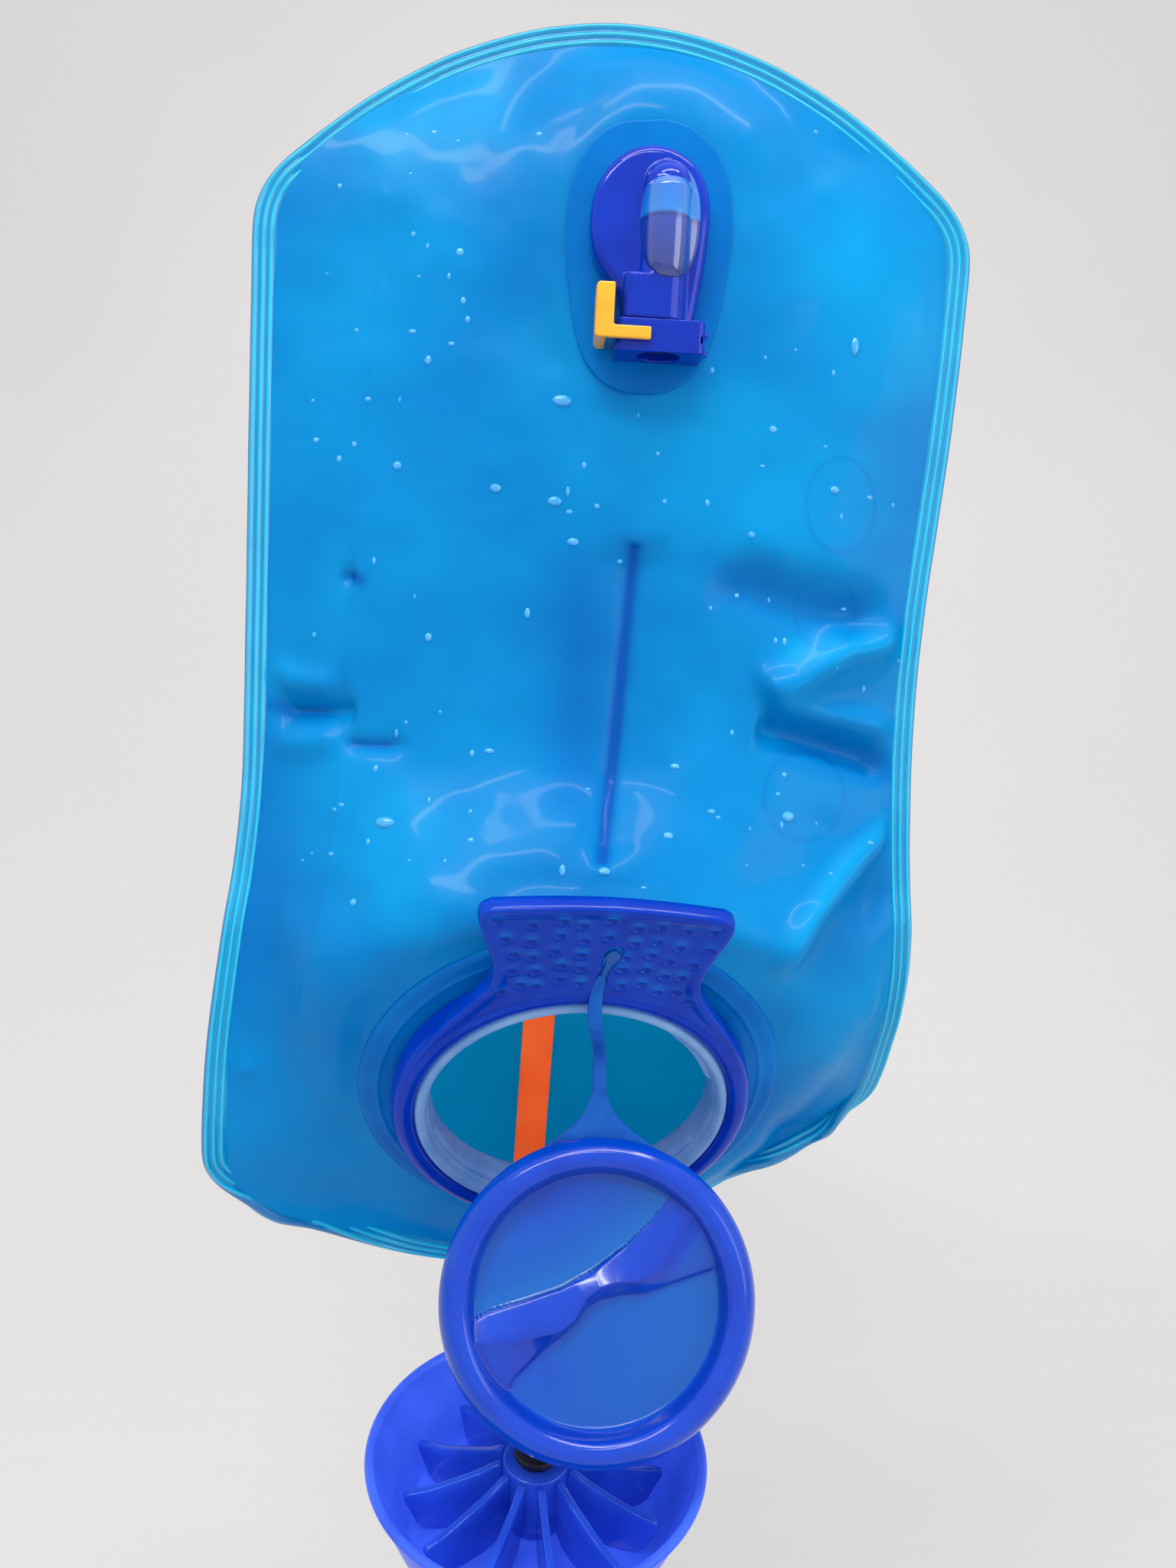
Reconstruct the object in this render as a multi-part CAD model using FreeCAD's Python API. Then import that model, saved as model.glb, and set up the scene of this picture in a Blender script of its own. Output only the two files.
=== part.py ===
"""Hydration bladder: two welded films, a wide fill mouth with a grip plate, a tethered
quarter-turn lid, a ribbed outer cap on a short link, and a quick-release hose outlet.

Millimetres. Origin: centre of the fill mouth, on the outer face of the handle ring.
+X is to the right when facing the front film, +Y runs from the front film to the back film,
+Z runs from the fill mouth to the closed end that carries the hose outlet.
"""
import FreeCAD
import Part
import math
import os

Vec = FreeCAD.Vector
os.makedirs("parts", exist_ok=True)

# ---------------------------------------------------------------- driving dimensions
HALF_W = 107.5          # half width of the flat bag, seam included
LENGTH = 435.0          # length of the front film along its centre line
FILM = 0.9              # film thickness
BEAD = 4.0              # width of the outer bead of the seam
WELD_GAP = 0.45         # each film's inside face stands this far from the weld plane
TOP_SAG = 40.0          # how far the closed end's corners sit below its crown
END_SAG = 46.0          # the same at the mouth end
PINCH = 6.0             # the right edge draws in above the mouth by this much
RISE = 4.6              # the films start to part this far in from the edge

PORT_TILT = 29.0        # the mouth faces forward and down by this angle
PORT_YAW = 5.0          # and a little to the right
PORT_TURN = 2.0         # in-plane turn of the mouth and its handle
MOUTH_R = 44.0          # clear radius of the mouth
LINER_R = 48.3          # outside radius of the mouth liner
RING_R = 55.8           # outside radius of the handle ring
FLANGE_R = 66.0         # outside radius of the fill flange
STACK = 12.0            # from the film's outside face to the ring's outer face

HANDLE_TOP = 84.0       # height of the handle's top corners above the mouth's centre
HANDLE_W = 71.0         # handle width at its top
WAIST_W = 58.0          # handle width at its waist
HANDLE_T = 4.0
HANDLE_BACK = -5.2      # inner face of the handle plate
ANCHOR_Y = 63.0         # tether anchor, above the mouth's centre

LID_R = 45.5            # outside radius of the lid's rim
LID_POS = Vec(9.0, -30.0, -42.0)
LID_LEAN = 15.0         # the hanging lid leans back by this angle
BAR_TURN = 23.0         # turn of the finger bar's outline from the lid's own x

CAP_R = 52.0            # rim radius of the ribbed outer cap
CAP_FLOOR_R = 41.0
CAP_DEPTH = 27.0
CAP_POS = Vec(-6.0, -13.0, -101.0)
CAP_LEAN = 6.0
N_RIBS = 12

PIN_R = 1.2             # link pin
PIN_DEPTH = 14.6        # pin axis behind the lid's origin

OUT_X, OUT_Z = 9.0, 255.0   # hose outlet on the front film
OUT_Y = 5.4             # inside face of the front film at the outlet


# ---------------------------------------------------------------- helpers
def smooth(t):
    t = max(0.0, min(1.0, t))
    return t * t * (3 - 2 * t)


def monotone_cubic(xs, ys, x):
    """Value at x of the monotone cubic through (xs, ys)."""
    n = len(xs)
    if x <= xs[0]:
        return ys[0]
    if x >= xs[-1]:
        return ys[-1]
    steps = [xs[i + 1] - xs[i] for i in range(n - 1)]
    rises = [(ys[i + 1] - ys[i]) / steps[i] for i in range(n - 1)]
    slopes = [rises[0]] + [0.0] * (n - 2) + [rises[-1]]
    for i in range(1, n - 1):
        if rises[i - 1] * rises[i] > 0:
            before = 2 * steps[i] + steps[i - 1]
            after = steps[i] + 2 * steps[i - 1]
            slopes[i] = (before + after) / (before / rises[i - 1] + after / rises[i])
    i = max(k for k in range(n - 1) if xs[k] <= x)
    s = (x - xs[i]) / steps[i]
    return (
        (1 + 2 * s) * (1 - s) ** 2 * ys[i]
        + s * (1 - s) ** 2 * steps[i] * slopes[i]
        + s * s * (3 - 2 * s) * ys[i + 1]
        + s * s * (s - 1) * steps[i] * slopes[i + 1]
    )


def frame(origin, x_axis, y_axis, z_axis):
    m = FreeCAD.Matrix()
    m.A11, m.A21, m.A31 = x_axis
    m.A12, m.A22, m.A32 = y_axis
    m.A13, m.A23, m.A33 = z_axis
    m.A14, m.A24, m.A34 = origin
    return FreeCAD.Placement(m)


def place(shape, placement):
    placed = shape.copy()
    placed.Placement = placement.multiply(placed.Placement)
    return placed


def save(name, shape, placement=FreeCAD.Placement()):
    """Move a shape from its local frame into the bag's and write its solids."""
    solids = place(shape, placement).Solids
    assert solids, name
    result = solids[0] if len(solids) == 1 else Part.makeCompound(solids)
    result.exportStep("parts/%s.step" % name)


def cyl(r, z0, z1, x=0.0, y=0.0):
    return Part.makeCylinder(r, z1 - z0, Vec(x, y, z0), Vec(0, 0, 1))


def cyl_x(r, length, centre):
    """Cylinder along x, centred on a point."""
    return Part.makeCylinder(r, length, centre - Vec(length / 2, 0, 0), Vec(1, 0, 0))


def tube(inner_r, outer_r, z0, z1):
    return cyl(outer_r, z0, z1).cut(cyl(inner_r, z0 - 1, z1 + 1))


def box(dx, dy, dz, x, y, z):
    return Part.makeBox(dx, dy, dz, Vec(x, y, z))


def closed_wire(points):
    corners = [Vec(*p) for p in points]
    return Part.makePolygon(corners + [corners[0]])


def flat_face(points):
    return Part.Face(closed_wire(points))


def prism(points, z0, z1):
    return flat_face([(x, y, z0) for x, y in points]).extrude(Vec(0, 0, z1 - z0))


def side_prism(points, x0, width):
    """A closed (y, z) outline extruded along +x from x0."""
    return flat_face([(x0, y, z) for y, z in points]).extrude(Vec(width, 0, 0))


def spline_prism(points, z0, z1):
    curve = Part.BSplineCurve()
    curve.interpolate([Vec(x, y, z0) for x, y in points], PeriodicFlag=True)
    return Part.Face(Part.Wire(curve.toShape())).extrude(Vec(0, 0, z1 - z0))


def revolve(profile):
    """A closed (r, z) profile turned about the z axis."""
    face = flat_face([(r, 0, z) for r, z in profile])
    return face.revolve(Vec(0, 0, 0), Vec(0, 0, 1), 360)


def strip_section(centre, across, through):
    """Rectangle about a point, from its half-width and half-thickness vectors."""
    return closed_wire([centre - across - through, centre + across - through,
                        centre + across + through, centre - across + through])


def sewn_solid(faces):
    shell = Part.makeShell(faces)
    shell.sewShape()
    return Part.makeSolid(shell)


def facing_out(solid):
    if solid.Volume < 0:
        solid.reverse()
    return solid


def filleted(shape, radius, edges):
    """Round the edges; they stay square where the kernel can't build the fillet."""
    try:
        return shape.makeFillet(radius, edges)
    except Exception:
        return shape


def with_lugs(body, inner_r, outer_r, z0, z1, first, sweep):
    """Fuse four bayonet lugs, each `sweep` degrees wide, the first starting at `first`."""
    reach = 60      # past the lugs' outer radius
    for k in range(4):
        angles = [math.radians(first + 90 * k + sweep * i / 4) for i in range(5)]
        arc = [(reach * math.cos(a), reach * math.sin(a)) for a in angles]
        wedge = prism([(0, 0)] + arc, z0 - 2, z1 + 2)
        body = body.fuse(tube(inner_r, outer_r, z0, z1).common(wedge))
    return body


def coil(radius, wire_r, pitch, turns, steps=14, sides=6):
    """A round-wire coil about z, as a closed faceted solid."""
    rings = []
    count = turns * steps
    for i in range(count + 1):
        angle = 2 * math.pi * i / steps
        radial = Vec(math.cos(angle), math.sin(angle), 0)
        centre = radial * radius + Vec(0, 0, pitch * i / steps)
        ring = []
        for k in range(sides):
            around = 2 * math.pi * k / sides
            ring.append(centre + radial * (wire_r * math.cos(around))
                        + Vec(0, 0, wire_r * math.sin(around)))
        rings.append(ring)
    faces = [flat_face(rings[0]), flat_face(list(reversed(rings[-1])))]
    for this, after in zip(rings, rings[1:]):
        for k in range(sides):
            j = (k + 1) % sides
            faces.append(flat_face([this[k], this[j], after[j]]))
            faces.append(flat_face([this[k], after[j], after[k]]))
    return sewn_solid(faces)


# ---------------------------------------------------------------- local frames
# Each has x right, y up and z out of the piece's outer face.
tilt, yaw, turn = (math.radians(a) for a in (PORT_TILT, PORT_YAW, PORT_TURN))
PORT_OUT = Vec(math.sin(yaw) * math.cos(tilt), -math.cos(yaw) * math.cos(tilt), -math.sin(tilt))
level_up = Vec(0, 0, 1) - PORT_OUT * PORT_OUT.z
level_up.normalize()
PORT_UP = level_up * math.cos(turn) + level_up.cross(PORT_OUT) * math.sin(turn)
PORT_RIGHT = PORT_UP.cross(PORT_OUT)
PORT = frame((0, 0, 0), PORT_RIGHT, PORT_UP, PORT_OUT)

lean = math.radians(LID_LEAN)
LID_OUT = Vec(0, -math.cos(lean), math.sin(lean))
LID_UP = Vec(0, math.sin(lean), math.cos(lean))
LID = frame(LID_POS, (1, 0, 0), LID_UP, LID_OUT)

# The cap opens upward: its z is nearly the bag's z.
lean = math.radians(CAP_LEAN)
CAP = frame(CAP_POS, (1, 0, 0), (0, math.cos(lean), math.sin(lean)),
            (0, -math.sin(lean), math.cos(lean)))

OUT = frame((OUT_X, OUT_Y - FILM, OUT_Z), (1, 0, 0), (0, 0, 1), (0, -1, 0))

# ---------------------------------------------------------------- bag shape
# Film coordinates: q runs -1..1 from left to right, t runs 0..1 from closed end to mouth end.
# Columns: t, mid surface y and z, then the (y, z) bulge of the front and of the back film.
STATIONS = [
    (0, 22, 326, -12, 0, 6, 0),
    (0.10, 21, 283, -14, 0, 10, 0),
    (0.25, 20, 219, -16, 0, 12, 0),
    (0.40, 20, 154, -16, 0, 12, 0),
    (0.474, 20, 122, -18, 0, 14, -2),
    (0.60, 17, 70, -38, 2, 22, -4),
    (0.632, 14, 56, -42, 2, 26, -6),
    (0.777, 22, 4, -12.4, 3.1, 30, -2),
    (0.922, 44, -44, 3.0, 0.5, 17, -2),
    (1.0, 60, -76, 0, 0, 0, 0),
]
STATION_T, MID_Y, MID_Z, FRONT_Y, FRONT_Z, BACK_Y, BACK_Z = zip(*STATIONS)

TOP_CORNER = 0.075      # t over which the closed end's corners round in
END_CORNER = 0.90       # t where the mouth end's corners start to round in
MOUTH_WIDEN = 4.0       # extra half width towards the mouth end
SHIFT_X = 5.0           # the mouth end shifts left by this much
TWIST_Y, TWIST_Z = 19.0, 12.0   # its right edge moves back and up, its left the reverse
PINCH_T, PINCH_SPAN = 0.44, 0.2

SIDE_POWER = 2.3        # fullness of the bulge across the bag
TOP_REACH = 0.16        # t over which the bulge rises from the closed end
END_REACH = 0.065       # and from the mouth end
FLARE = 0.06            # softens the bulge's start, so it leaves the weld without a kink

PORT_MARGIN, PORT_BLEND = 3.5, 26.0     # flat film beyond the fill flange, then its blend
OUT_FLAT, OUT_BLEND = 42.0, 22.0        # half height of the flat at the outlet, its blend
OUT_ASPECT = 0.72                       # width of that flat over its height

NQ, NT = 41, 61         # grid points across and along each film


def half_width(t):
    width = HALF_W + MOUTH_WIDEN * smooth((t - 0.55) / 0.25)
    if t < TOP_CORNER:
        width *= 1 - 0.13 * (1 - t / TOP_CORNER) ** 2.2
    if t > END_CORNER:
        width *= 1 - 0.20 * ((t - END_CORNER) / (1 - END_CORNER)) ** 2.0
    return width


def edge_point(q, t):
    """Station and point on the mid surface, where the two films are welded."""
    station = t + (1 - t) ** 3 * TOP_SAG / LENGTH * q * q - t ** 3 * END_SAG / LENGTH * q * q
    lower = smooth((t - 0.5) / 0.5)
    pinch = PINCH * max(q, 0.0) * math.exp(-((t - PINCH_T) / PINCH_SPAN) ** 2)
    x = half_width(t) * q - SHIFT_X * lower - pinch
    y = monotone_cubic(STATION_T, MID_Y, station) + TWIST_Y * q * lower
    z = monotone_cubic(STATION_T, MID_Z, station) + TWIST_Z * q * lower
    return station, Vec(x, y, z)


def end_rise(distance, reach):
    if distance <= 0:
        return 0.0
    if distance > reach:
        return 1.0
    return 1 - ((reach - distance) / reach) ** 2


def bulge(q, t):
    """Share of the full bulge: 0 at the seam, near 1 mid-bag."""
    r = abs(q) / (1 - RISE / HALF_W)
    across = 0.0 if r >= 1 else 1 - r ** SIDE_POWER
    margin = RISE / LENGTH
    full = across * end_rise(t - margin, TOP_REACH) * end_rise(1 - margin - t, END_REACH)
    return full * full / (full + FLARE)


def parted(q, t, gap, bulge_y, bulge_z):
    """Inner face of a film: off the weld plane by the gap and by its bulge."""
    station, p = edge_point(q, t)
    share = bulge(q, t)
    dy = gap + monotone_cubic(STATION_T, bulge_y, station) * share
    dz = monotone_cubic(STATION_T, bulge_z, station) * share
    return share, p + Vec(0, dy, dz)


def front_inner(q, t):
    share, p = parted(q, t, -WELD_GAP, FRONT_Y, FRONT_Z)
    # the film lies flat under the fill flange
    r = math.hypot(p.dot(PORT_RIGHT), p.dot(PORT_UP))
    pull = (1 - smooth((r - (FLANGE_R + PORT_MARGIN)) / PORT_BLEND)) * smooth(share / 0.3)
    p = p + PORT_OUT * ((-STACK - FILM - p.dot(PORT_OUT)) * pull)
    # and under the outlet flange
    if t < 0.5:
        r = math.hypot((p.x - OUT_X) / OUT_ASPECT, p.z - OUT_Z)
        pull = (1 - smooth((r - OUT_FLAT) / OUT_BLEND)) * smooth(share / 0.4)
        p = Vec(p.x, p.y + (OUT_Y - p.y) * pull, p.z)
    return p


def back_inner(q, t):
    return parted(q, t, WELD_GAP, BACK_Y, BACK_Z)[1]


def inset(s, u):
    """Film coordinates (s -1..1, u 0..1) that stay inside the seam's bead."""
    end = BEAD / LENGTH * (1.14 + 0.44 * s * s)
    t = end + (1 - 2 * end) * u
    corner = max(0.0, 1 - t / TOP_CORNER, (t - 0.92) / 0.08)
    width = half_width(t)
    return s * (width - BEAD * (1.10 + 0.66 * corner)) / width, t


def normals(grid):
    rows = []
    for i in range(NQ):
        row = []
        for j in range(NT):
            across = grid[min(i + 1, NQ - 1)][j] - grid[max(i - 1, 0)][j]
            along = grid[i][min(j + 1, NT - 1)] - grid[i][max(j - 1, 0)]
            normal = across.cross(along)
            normal.normalize()
            row.append(normal)
        rows.append(row)
    return rows


def border_curves(surface):
    u0, u1, v0, v1 = surface.bounds()
    return surface.uIso(u0), surface.uIso(u1), surface.vIso(v0), surface.vIso(v1)


def film(inner_face, sign):
    """A closed sheet, FILM thick, outside an inner face; sign is the way out along y."""
    inner = [[inner_face(*inset(-1 + 2 * i / (NQ - 1), j / (NT - 1))) for j in range(NT)]
             for i in range(NQ)]
    directions = normals(inner)
    outer = [[inner[i][j] + directions[i][j] * (sign * FILM) for j in range(NT)]
             for i in range(NQ)]
    surfaces = []
    for grid in (inner, outer):
        surface = Part.BSplineSurface()
        surface.interpolate(grid)
        surfaces.append(surface)
    faces = [surface.toShape() for surface in surfaces]
    for near, far in zip(*(border_curves(surface) for surface in surfaces)):
        faces.append(Part.makeRuledSurface(near.toShape(), far.toShape()))
    return facing_out(sewn_solid(faces))


def front_film():
    sheet = film(front_inner, -1)
    sheet = sheet.cut(place(cyl(LINER_R + 0.3, -40, 20), PORT))
    return sheet.cut(place(cyl(6.5, -20, 20, 0, FLOW_Y), OUT))


def edge_seam():
    """The seam's outer bead, all round the bag, thicker at its inner side."""
    n_side, n_end = 44, 22
    inner_half_t, outer_half_t = 1.3, 0.9
    step = 0.01         # for the slopes of the mid surface
    loop = [(-1 + 2 * i / n_end, 0.0) for i in range(n_end)]
    loop += [(1.0, i / n_side) for i in range(n_side)]
    loop += [(1 - 2 * i / n_end, 1.0) for i in range(n_end)]
    loop += [(-1.0, 1 - i / n_side) for i in range(n_side)]
    rim = [edge_point(q, t)[1] for q, t in loop]
    sections = []
    for i, (q, t) in enumerate(loop):
        point = rim[i]
        tangent = rim[(i + 1) % len(rim)] - rim[i - 1]
        tangent.normalize()
        across = edge_point(min(q + step, 1), t)[1] - edge_point(max(q - step, -1), t)[1]
        along = edge_point(q, min(t + step, 1))[1] - edge_point(q, max(t - step, 0))[1]
        normal = across.cross(along)
        normal.normalize()
        inward = normal.cross(tangent)
        inward.normalize()
        if i == 0:      # the first section sets which way is into the bag
            side = 1 if inward.dot(Vec(0, 0, 120) - point) > 0 else -1
        inside = point + inward * (side * BEAD * 0.93)
        sections.append([inside - normal * inner_half_t, point - normal * outer_half_t,
                         point + normal * outer_half_t, inside + normal * inner_half_t])
    faces = []
    for i, this in enumerate(sections):
        after = sections[(i + 1) % len(sections)]
        for j in range(4):
            k = (j + 1) % 4
            faces.append(flat_face([this[j], after[k], this[k]]))
            faces.append(flat_face([this[j], after[j], after[k]]))
    return facing_out(sewn_solid(faces))


# ---------------------------------------------------------------- strips inside the bag
def inner_y(inner_face, x, z):
    """The y of a film's inner face at x, z: bisect on t, correcting q for x."""
    low, high = 0.0, 1.0
    for _ in range(40):
        t = (low + high) / 2
        q = x / HALF_W
        p = inner_face(q, t)
        for _ in range(3):
            q += (x - p.x) / HALF_W
            p = inner_face(q, t)
        if p.z > z:
            low = t
        else:
            high = t
    return p.y


def heights(start):
    """z of the stations along a strip."""
    return [start + i * 6.0 for i in range(17)]


def centre_baffle():
    """Upright web that spans the bag, just short of both films."""
    x, thick, gap = 7.0, 1.2, 0.5
    zs = heights(73)
    outline = [(inner_y(front_inner, x, z) + gap, z) for z in zs]
    outline += [(inner_y(back_inner, x, z) - gap, z) for z in reversed(zs)]
    return side_prism(outline, x - thick / 2, thick)


def spreader_strap():
    """Upright strap behind the mouth, just in front of the back film."""
    x, width = -12.0, 11.0
    near, far = 1.7, 0.6        # its front and back faces, ahead of the film
    left = x - width / 2
    face = [(min(inner_y(back_inner, sx, z) for sx in (left, x, x + width / 2)), z)
            for z in heights(-44)]
    outline = [(y - near, z) for y, z in face] + [(y - far, z) for y, z in reversed(face)]
    return side_prism(outline, left, width)


# ---------------------------------------------------------------- fill port (PORT frame)
def fill_flange():
    bore, back = LINER_R + 0.2, -STACK + 0.12
    return revolve([(bore, back), (FLANGE_R, back), (FLANGE_R, -STACK + 0.6),
                    (FLANGE_R - 1.2, -STACK + 1.5), (bore, -STACK + 1.5)])


def mouth_liner():
    """Tube with a foot inside the film and lugs in its bore."""
    film_inside = -STACK - FILM
    foot_r, foot_back, foot_front = LINER_R + 6, film_inside - 2.2, film_inside - 0.25
    liner = revolve([
        (MOUTH_R, foot_back), (foot_r, foot_back), (foot_r, foot_front), (LINER_R, foot_front),
        (LINER_R, -1.6), (LINER_R - 0.8, -0.8), (MOUTH_R + 0.8, -0.8), (MOUTH_R, -1.6)])
    liner = with_lugs(liner, MOUTH_R - 1.6, MOUTH_R + 0.4, -7.0, -4.4, first=20, sweep=36)
    return liner.removeSplitter()


def handle_plate(bore):
    top, waist = HANDLE_W / 2, WAIST_W / 2
    # right edge from the ring up to the crown
    edge = [(51, 18), (43.5, 35), (36.0, 46), (waist + 1.2, 54), (waist + 0.8, 61),
            (top - 2.0, 72), (top, 78.5), (top - 1.2, 82.4), (top - 5, 84.3),
            (16, HANDLE_TOP + 1.6)]
    outline = [(-x, y) for x, y in edge] + [(0, HANDLE_TOP + 2.2)] + edge[::-1] + [(0, 30)]
    plate = spline_prism(outline, HANDLE_BACK, HANDLE_BACK + HANDLE_T)
    plate = plate.cut(cyl(bore + 1.5, -12, 5))
    return filleted(plate, 1.4, [e for e in plate.Edges if e.Length > 150])


def grip_dimples():
    """Five staggered rows of balls, clear of the centre line and the tether anchor."""
    ball_r, ball_z = 2.2, HANDLE_BACK + HANDLE_T + 1.3
    dimples = []
    for row in range(5):
        y = 58.5 + 5.2 * row
        count, spread = (5, 0.98) if row % 2 == 0 else (4, 0.9)
        widening = (HANDLE_W - WAIST_W) * max(0.0, (y - 60) / 22)
        reach = (WAIST_W + widening) / 2 - 4.5
        for i in range(-count, count + 1):
            x = reach * (i / count) * spread
            if math.hypot(x, y - ANCHOR_Y) > 7 and abs(x) > 3.2:
                dimples.append(Part.makeSphere(ball_r, Vec(x, y, ball_z)))
    return Part.makeCompound(dimples)


def handle_ring():
    bore, rim, back = LINER_R + 0.05, RING_R, -STACK + 1.6
    ring = revolve([
        (bore, back), (rim - 0.8, back), (rim, back + 0.8), (rim, -4.6), (rim - 0.7, -2.4),
        (rim - 2.2, -0.8), (rim - 4.2, 0.0), (bore + 2.6, 0.0), (bore + 1.0, -0.6),
        (bore, -1.8)])
    handle = ring.fuse(handle_plate(bore))
    handle = handle.cut(cyl(3.0, -20, 6, 0, ANCHOR_Y))      # hole for the tether button
    return handle.cut(grip_dimples()).removeSplitter()


# ---------------------------------------------------------------- tether
def tether_button():
    """Stem through the handle with a head on each face (PORT frame)."""
    button = cyl(2.75, -5.9, -1.0, 0, ANCHOR_Y)
    button = button.fuse(cyl(4.6, -1.0, 0.6, 0, ANCHOR_Y))
    return button.fuse(cyl(4.2, -7.4, -5.6, 0, ANCHOR_Y)).removeSplitter()


def tether_strap():
    """Strap from the handle's anchor down to the top of the lid's ring (bag frame)."""
    width, thick, steps = 6.0, 1.8, 24
    lid_end = LID.multVec(Vec(0, LID_R + 12.5, -3.4))
    curve = Part.BSplineCurve()
    curve.interpolate([
        PORT.multVec(Vec(0, ANCHOR_Y, 1.7)) + PORT_UP * 0.3,
        PORT.multVec(Vec(-0.3, 54.0, 2.9)),
        PORT.multVec(Vec(-0.6, 44.5, 4.6)),
        lid_end + LID_UP * 10.0 + LID_OUT * 1.5,
        lid_end + LID_UP * 2.2,
    ])
    first, span = curve.FirstParameter, curve.LastParameter - curve.FirstParameter
    samples = [curve.value(first + span * i / steps) for i in range(steps + 1)]
    sections = []
    for i, point in enumerate(samples):
        direction = samples[min(i + 1, steps)] - samples[max(i - 1, 0)]
        direction.normalize()
        normal = PORT_RIGHT.cross(direction)
        normal.normalize()
        sections.append(strip_section(point, PORT_RIGHT * (width / 2), normal * (thick / 2)))
    return Part.makeLoft(sections, True, False)


def tether_ring():
    """Neck ring round the lid, with the flare that meets the strap (LID frame)."""
    # left edge of the flare, from the ring up to the strap
    edge = [(-24.0, 37.2), (-18.0, LID_R - 4.4), (-9.0, LID_R + 2.0), (-4.0, LID_R + 7.0)]
    right = [(-x, y) for x, y in reversed(edge)]
    outline = [(-3.0, LID_R + 12.0), (3.0, LID_R + 12.0)] + right + [(0, 43.0)] + edge
    flare = spline_prism(outline, -4.3, -2.5).cut(cyl(43.2, -8, 2))
    return tube(42.3, 44.9, -4.6, -2.2).fuse(flare).removeSplitter()


# ---------------------------------------------------------------- lid (LID frame)
# Lid section, (r, z), from the dished face over the rim and down the neck.
LID_PROFILE = [
    (35.4, -1.2), (36.0, 1.4), (37.6, 3.5), (39.8, 4.5), (42.2, 4.1), (44.4, 2.6),
    (LID_R, 0.6), (LID_R, -0.6), (44.9, -1.9), (42.0, -1.9), (42.0, -4.8), (41.4, -4.8),
    (41.4, -8.6), (39.6, -8.6), (39.6, -11.0), (41.4, -11.0), (41.4, -13.4), (40.6, -14.2),
    (37.4, -14.2), (37.4, -4.6), (0, -4.6), (0, -2.6), (34.0, -2.6),
]
# Finger bar outline, (x, y): narrow in the middle, flared at both ends.
BAR_OUTLINE = [
    (-34.6, 3.6), (-30, 5.2), (-20, 3.0), (-10, 1.6), (0, 2.6), (10, 4.8), (20, 8.5),
    (29, 15.0), (33.0, 13.0), (35.0, 5.0), (35.2, -2.0), (34.6, -6.0), (30, -7.5),
    (20, -4.6), (10, -2.2), (0, -2.6), (-8, -5.0), (-14, -9.0), (-20, -14.5),
    (-27, -22.0), (-31.5, -16.0), (-34.5, -6.0),
]


def lid_body():
    bar = spline_prism(BAR_OUTLINE, -3.0, 2.4).common(cyl(36.4, -3.4, 3.0))
    bar.rotate(Vec(0, 0, 0), Vec(0, 0, 1), BAR_TURN)
    lid = revolve(LID_PROFILE).fuse(bar)
    # boss on the inner face, with the swivel's socket
    lid = lid.fuse(cyl(9.0, -9.2, -4.4)).cut(cyl(4.6, -7.7, -6.1)).cut(cyl(3.25, -10, -7.5))
    lid = with_lugs(lid, 40.8, 43.0, -13.4, -11.2, first=-20, sweep=28)
    return lid.removeSplitter()


def lid_seal():
    return Part.makeTorus(40.75, 1.05, Vec(0, 0, -9.8), Vec(0, 0, 1))


# ---------------------------------------------------------------- ribbed cap (CAP frame)
CAP_FLOOR_TOP = -CAP_DEPTH + 2.1    # ribs and hub stand here, just clear of the floor


def cap_shell():
    rim, floor, base = CAP_R, CAP_FLOOR_R, -CAP_DEPTH
    return revolve([
        (0, base), (floor - 3, base), (floor, base + 2.5), (rim - 3.5, -7.0), (rim - 1.6, -2.0),
        (rim, -0.6), (rim, 1.0), (rim - 1.2, 1.6), (rim - 2.6, 1.2), (rim - 3.6, -2.2),
        (rim - 5.6, -7.2), (floor - 1.8, base + 3.2), (floor - 4, base + 1.9), (0, base + 1.9)])


def cap_ribs():
    thick, first_angle = 1.4, 9
    profile = [(10.8, CAP_FLOOR_TOP), (34.6, CAP_FLOOR_TOP), (40.5, -12.0), (33.0, -11.0),
               (18.0, -6.5), (10.8, -3.0)]
    ribs = []
    for k in range(N_RIBS):
        rib = flat_face([(r, -thick / 2, z) for r, z in profile]).extrude(Vec(0, thick, 0))
        rib.rotate(Vec(0, 0, 0), Vec(0, 0, 1), 360.0 * k / N_RIBS + first_angle)
        ribs.append(rib)
    return Part.makeCompound(ribs)


def cap_hub():
    return revolve([(5.2, CAP_FLOOR_TOP), (10.6, CAP_FLOOR_TOP), (10.6, -3.4), (9.8, -2.6),
                    (6.0, -2.6), (5.2, -3.4)])


def cap_stud():
    """Stud in the hub, with a wider head above it."""
    return cyl(5.1, -CAP_DEPTH + 2.2, -1.6).fuse(cyl(7.0, -1.6, 0.4)).removeSplitter()


# ---------------------------------------------------------------- link from cap to lid
PIN = LID.multVec(Vec(0, 0, -PIN_DEPTH))


def cap_link():
    """Strip from the stud's head to an eye on the pin (bag frame)."""
    base = CAP.multVec(Vec(0, 0, 0.6))
    run = PIN - base
    half_t = Vec(1, 0, 0).cross(run)
    half_t.normalize()
    half_t = half_t * 1.2
    upright = Vec(0, run.y, run.z)
    upright.normalize()
    # centre and half width of each section
    stations = [(base, 4.6), (base * 0.55 + PIN * 0.45, 4.0),
                (PIN - upright * 9.0, 4.0), (PIN - upright * 1.5, 4.0)]
    sections = [strip_section(p, Vec(1, 0, 0) * half, half_t) for p, half in stations]
    link = Part.makeLoft(sections, True, True)
    link = link.fuse(cyl_x(3.0, 8.0, PIN)).cut(cyl_x(PIN_R + 0.06, 12.0, PIN))
    return link.removeSplitter()


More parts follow.
